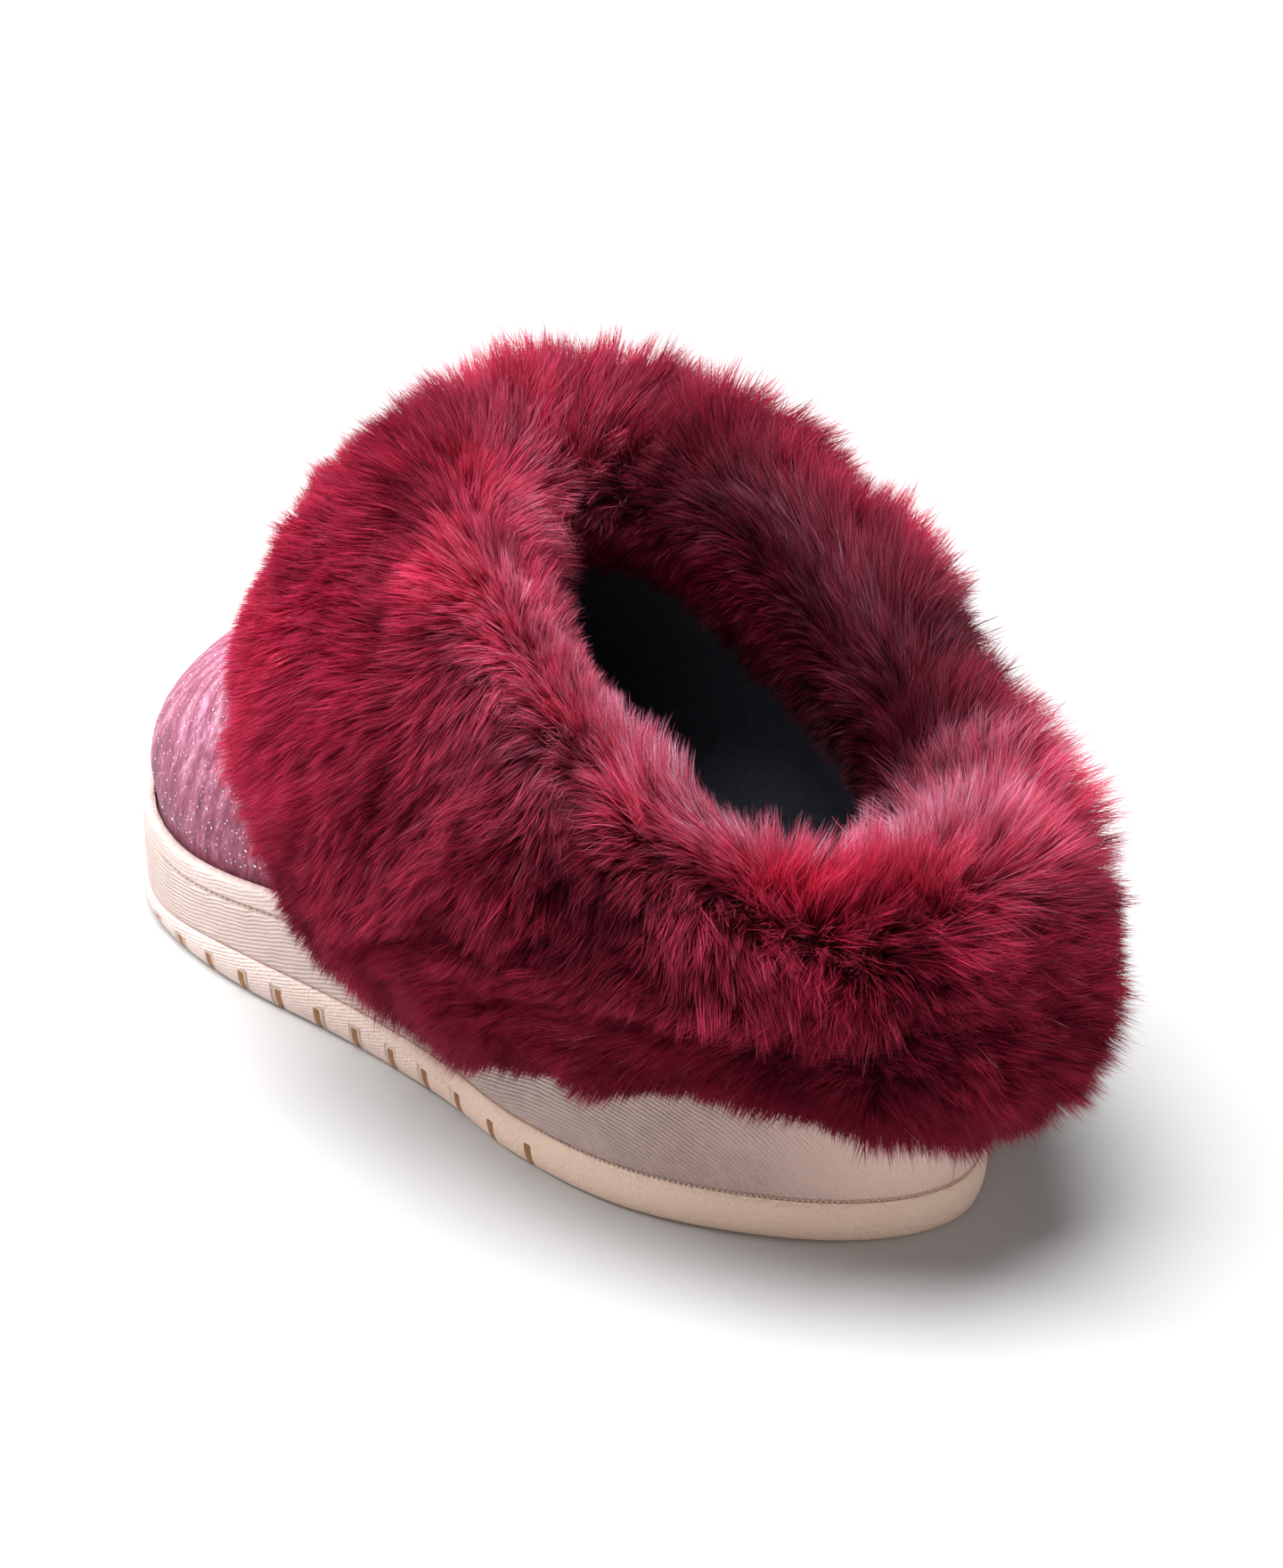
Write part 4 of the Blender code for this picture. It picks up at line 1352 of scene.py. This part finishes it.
class Fur:
    """Hair over the cuff, grown in clumps on the rows of its section."""

    def __init__(self):
        self.draw = np.random.default_rng(FUR_SEED)
        self.tips, self.roots, self.up, self.out, self.place = fur_rows()
        high = np.gradient(self.tips, axis=0)
        wide = (np.roll(self.tips, -1, axis=1) - np.roll(self.tips, 1, axis=1)) / 2
        self.row_step = np.linalg.norm(high, axis=2)
        self.column_step = np.linalg.norm(wide, axis=2)

    def seeds(self, count):
        """Places of evenly spread clumps, as fractional rows and columns."""
        area = (self.row_step * self.column_step)[:-1]
        area = area * read(DENSITY, 1, self.place[:-1])[:, None]
        share = np.cumsum(area.ravel())
        pick = (np.arange(count) + self.draw.uniform(size=count)) / count * share[-1]
        cell = np.searchsorted(share, pick)
        row, column = np.divmod(np.minimum(cell, area.size - 1), COLUMNS)
        return row + self.draw.uniform(size=count), column + self.draw.uniform(size=count)

    def sway(self, seed, row, column):
        """Soft noise over the cuff, in broad waves, tufts and locks."""
        along, round_ = row / (len(self.place) - 1), column / COLUMNS
        return [soft_noise(seed + k, *cells, along, round_) for k, cells in enumerate(SWAY_CELLS)]

    def ends(self, row, column, lean_up, lean_round, stretch):
        """Root, first direction, end and outward direction of each hair."""
        root = look_up(self.roots, row, column)
        reach = look_up(self.tips, row, column) - root
        up, out = look_up(self.up, row, column), look_up(self.out, row, column)
        shortest = Loop.by_side(HEM_HAIR, 1)[np.floor(column).astype(int) % COLUMNS]
        length = np.maximum(np.linalg.norm(reach, axis=1), shortest) * stretch
        first = unit(reach)
        lean = up * lean_up[:, None] + np.cross(up, out) * lean_round[:, None]
        last = unit(first + lean)
        return root, first, root + length[:, None] * (first + last) / 2, out

    def tint(self, place, moved, pile, at):
        """Tone and painted sheen of each clump. The tone is the hair's own tone with painted light and shade,
        and both are palest on the crest where the light falls.
        """
        shaded = Loop.by_side(HEEL_SHADE, 1)[at] * soft_step(place, *HEEL_SHADE_RANGE)
        paler = Loop.by_side(HEEL_PALE, 1)[at] * np.maximum(place - HEEL_PALE_START, 0) + shaded
        tone = np.maximum(*(read(FUR_LAY, 3, moved - shift) for shift in (shaded, paler)))
        tone = tone * (1 + mixed(TONE_SWAY, pile) + self.draw.normal(0, TONE_SCATTER, CLUMPS))
        body, crest = (Loop.by_side(table, 1)[at] for table in (BODY_TONE, CREST_TONE))
        tone = tone * (body + soft_step(place, *CREST_TONE_RANGE) * (crest - body))
        painted_sheen = read(PAINTED_SHEEN, 1, place - paler) * (1 + TUFT_PAINTED_SHEEN * pile[1])
        return tone, painted_sheen * Loop.by_side(PAINTED_SHEEN_ROUND, 1)[at]

    def grow(self):
        """Root, middle and end of each hair, its outward direction, its shade, which holds painted light and
        shade, and its painted sheen.
        """
        clump_row, clump_column = self.seeds(CLUMPS)
        draw = self.draw
        up, round_, pile = (self.sway(seed, clump_row, clump_column) for seed in SWAY_SEEDS)
        place = np.interp(clump_row, np.arange(len(self.place)), self.place)
        moved = place + mixed(PLACE_SWAY, pile)
        lay, depth = (read(FUR_LAY, k, moved) for k in (1, 2))
        wander = read(WANDER, 1, place)
        lean_up = lay + wander * (mixed(UP_SWAY, up) + draw.normal(0, LEAN_SCATTER, CLUMPS))
        lean_round = wander * (mixed(ROUND_SWAY, round_) + draw.normal(0, LEAN_SCATTER, CLUMPS))
        lump = mixed(LUMP_SWAY, pile) + draw.normal(0, LUMP_SCATTER, CLUMPS)
        stretch = depth * (1 + wander * lump)
        at = np.floor(clump_column).astype(int) % COLUMNS
        crest = Loop.by_side(CREST_STAND, 1)[at] * (1 + CREST_TUFTS * pile[1])
        inner = Loop.by_side(INSIDE_STAND, 1)[at]
        for stand, (rise, fall) in ((crest, CREST_HAIR), (inner, INSIDE_HAIR)):
            stretch = stretch + stand * soft_step(place, *rise) * soft_step(place, *fall)
        clump_end = self.ends(clump_row, clump_column, lean_up, lean_round, stretch)[2]
        tone, painted_sheen = self.tint(place, moved, pile, at)

        clump = np.repeat(np.arange(CLUMPS), HAIRS_PER_CLUMP)
        count = len(clump)
        spread = draw.normal(0, CLUMP_RADIUS, (2, count))
        row_step = look_up(self.row_step, clump_row, clump_column)[clump]
        column_step = look_up(self.column_step, clump_row, clump_column)[clump]
        row = np.clip(clump_row[clump] + spread[0] / row_step, 0, len(self.place) - 1.001)
        column = clump_column[clump] + spread[1] / column_step
        root, first, end, out = self.ends(
            row,
            column,
            lean_up[clump] + draw.normal(0, HAIR_SCATTER, count),
            lean_round[clump] + draw.normal(0, HAIR_SCATTER, count),
            stretch[clump] * draw.uniform(*HAIR_LENGTHS, count),
        )
        pull = CLUMP_PULL * draw.uniform(*PULL_RANGE, count)[:, None]
        end = end + (clump_end[clump] - end) * pull
        middle = root + first * np.linalg.norm(end - root, axis=1, keepdims=True) / 2
        shade = tone[clump] * draw.uniform(*HAIR_TONES, count)
        painted_sheen = painted_sheen[clump] * (LEAST_PAINTED_SHEEN + MOST_PAINTED_SHEEN * draw.uniform(size=count) ** 3)
        painted_sheen = painted_sheen + STRAY_PALE_AND_SHEEN * (draw.uniform(size=count) < STRAY_SHARE)
        return root, middle, end, out, shade, painted_sheen

    def kites(self, root, middle, end, out):
        """Flat kites bent along the hairs: places of root, two sides and end for each."""
        k = HAIR_STEPS[None, :, None]
        line = (1 - k) ** 2 * root[:, None] + 2 * k * (1 - k) * middle[:, None] + k**2 * end[:, None]
        way = unit(end - root)
        count = len(root)
        across = unit(np.cross(way, out + self.draw.normal(0, FACE_SCATTER, (count, 3))))
        turn = self.draw.normal(0, TURN_SCATTER, (count, 1))
        across = across * np.cos(turn) + np.cross(way, across) * np.sin(turn)
        side = across * HAIR_HALF_WIDTH * self.draw.uniform(*HAIR_WIDTHS, (count, 1))
        return np.stack([line[:, 0], line[:, 1] - side, line[:, 1] + side, line[:, 2]], axis=1)


KITE_FACES = ((0, 2, 1), (1, 2, 3))
KITE_STEPS = np.array([0, 1, 1, 2])
KITE_POINTS = len(KITE_STEPS)


def make_hair(material):
    """The fur's hairs, joined in a few pieces."""
    fur = Fur()
    root, middle, end, out, shade, painted_sheen = fur.grow()
    points = fur.kites(root, middle, end, out)
    shades = np.column_stack([read(HAIR_SHADES, k, HAIR_STEPS) for k in (1, 2, 3)])
    colours = shades[KITE_STEPS][None] * shade[:, None, None]
    # Painted sheen on each hair's outer half.
    colours += painted_sheen[:, None, None] * (PAINTED_SHEEN_STEPS[KITE_STEPS, None] * PAINTED_SHEEN_COLOUR)[None]
    order = fur.draw.permutation(len(points))
    corners = np.concatenate(KITE_FACES)
    for number, part in enumerate(np.array_split(order, HAIR_PIECES), 1):
        count = len(part)
        loops = (corners[None] + KITE_POINTS * np.arange(count)[:, None]).ravel()
        counts = np.tile([len(face) for face in KITE_FACES], count)
        name = f"fur_hair_{number}"
        mesh = mesh_from_arrays(name, points[part].reshape(-1, 3) * MM, loops, counts)
        paint = mesh.color_attributes.new("hair_colour", "FLOAT_COLOR", "POINT")
        rgba = np.ones((count * KITE_POINTS, 4), np.float32)
        rgba[:, :3] = np.clip(colours[part], 0, 1).reshape(-1, 3)
        paint.data.foreach_set("color", rgba.ravel())
        add_piece(name, mesh, material)
    return fur


# Studio.


def make_camera():
    a, e = CAMERA_AZIMUTH, CAMERA_ELEVATION
    back = Vector((math.sin(a) * math.cos(e), -math.cos(a) * math.cos(e), math.sin(e)))
    right = Vector((math.cos(a), math.sin(a), 0.0))
    turn = Matrix((right, back.cross(right), back)).transposed().to_4x4()
    data = bpy.data.cameras.new("camera")
    data.lens = CAMERA_LENS
    data.sensor_width = 36.0
    camera = bpy.data.objects.new("camera", data)
    camera.matrix_world = Matrix.Translation(CAMERA_PLACE) @ turn @ Matrix.Rotation(CAMERA_ROLL, 4, "Z")
    bpy.context.scene.collection.objects.link(camera)
    bpy.context.scene.camera = camera


def make_floor():
    bm = bmesh.new()
    bmesh.ops.create_circle(bm, cap_ends=True, segments=96, radius=FLOOR_RADIUS)
    mesh = bpy.data.meshes.new("floor")
    bm.to_mesh(mesh)
    bm.free()
    material, _, shader = new_material("floor_white", 0.9, specular=0.0)
    shader.inputs["Base Color"].default_value = (FLOOR_GREY, FLOOR_GREY, FLOOR_GREY, 1)
    mesh.materials.append(material)
    floor = bpy.data.objects.new("floor", mesh)
    bpy.context.scene.collection.objects.link(floor)


def make_light(name, place, aim, size, power):
    data = bpy.data.lights.new(name, "AREA")
    data.shape = "DISK"
    data.size = size
    data.energy = power
    light = bpy.data.objects.new(name, data)
    light.location = place
    light.rotation_euler = (Vector(aim) - Vector(place)).to_track_quat("-Z", "Y").to_euler()
    bpy.context.scene.collection.objects.link(light)


def make_studio():
    make_camera()
    make_floor()
    for light in LIGHTS:
        make_light(*light)
    world = bpy.data.worlds.new("studio")
    world.use_nodes = True
    background = world.node_tree.nodes["Background"]
    background.inputs["Color"].default_value = (1, 1, 1, 1)
    background.inputs["Strength"].default_value = WORLD_STRENGTH
    bpy.context.scene.world = world
    bpy.context.scene.view_settings.view_transform = "Standard"


def main():
    make_studio()
    grain, ribs = grain_group(), fine_rib_group()
    make_rim(rim_material(grain, ribs), slit_material(grain))
    make_wall(wall_material(grain, ribs))
    make_stitches(
        thread_material("toe_thread", (0.62, 0.46, 0.36), (0.80, 0.64, 0.53)),
        thread_material("heel_thread", (0.50, 0.35, 0.27), (0.72, 0.54, 0.44)),
    )
    # The lining and footbed are near-black navy pile, painted lighter here to stand for the light that
    # reaches into the mouth.
    dark = pile_material("dark_pile", (0.055, 0.062, 0.085), (0.115, 0.130, 0.170), 0.05)
    make_footbed(dark)
    make_lining(dark)
    make_upper(toe_material())
    make_glitter(glitter_material())
    # The undercoat's dark crimson is painted shade among the hair's roots.
    undercoat = pile_material("fur_undercoat", (0.04, 0.001, 0.006), (0.15, 0.004, 0.022), 0.05)
    fur = make_hair(hair_material())
    make_undercoat(undercoat, fur.roots)


main()
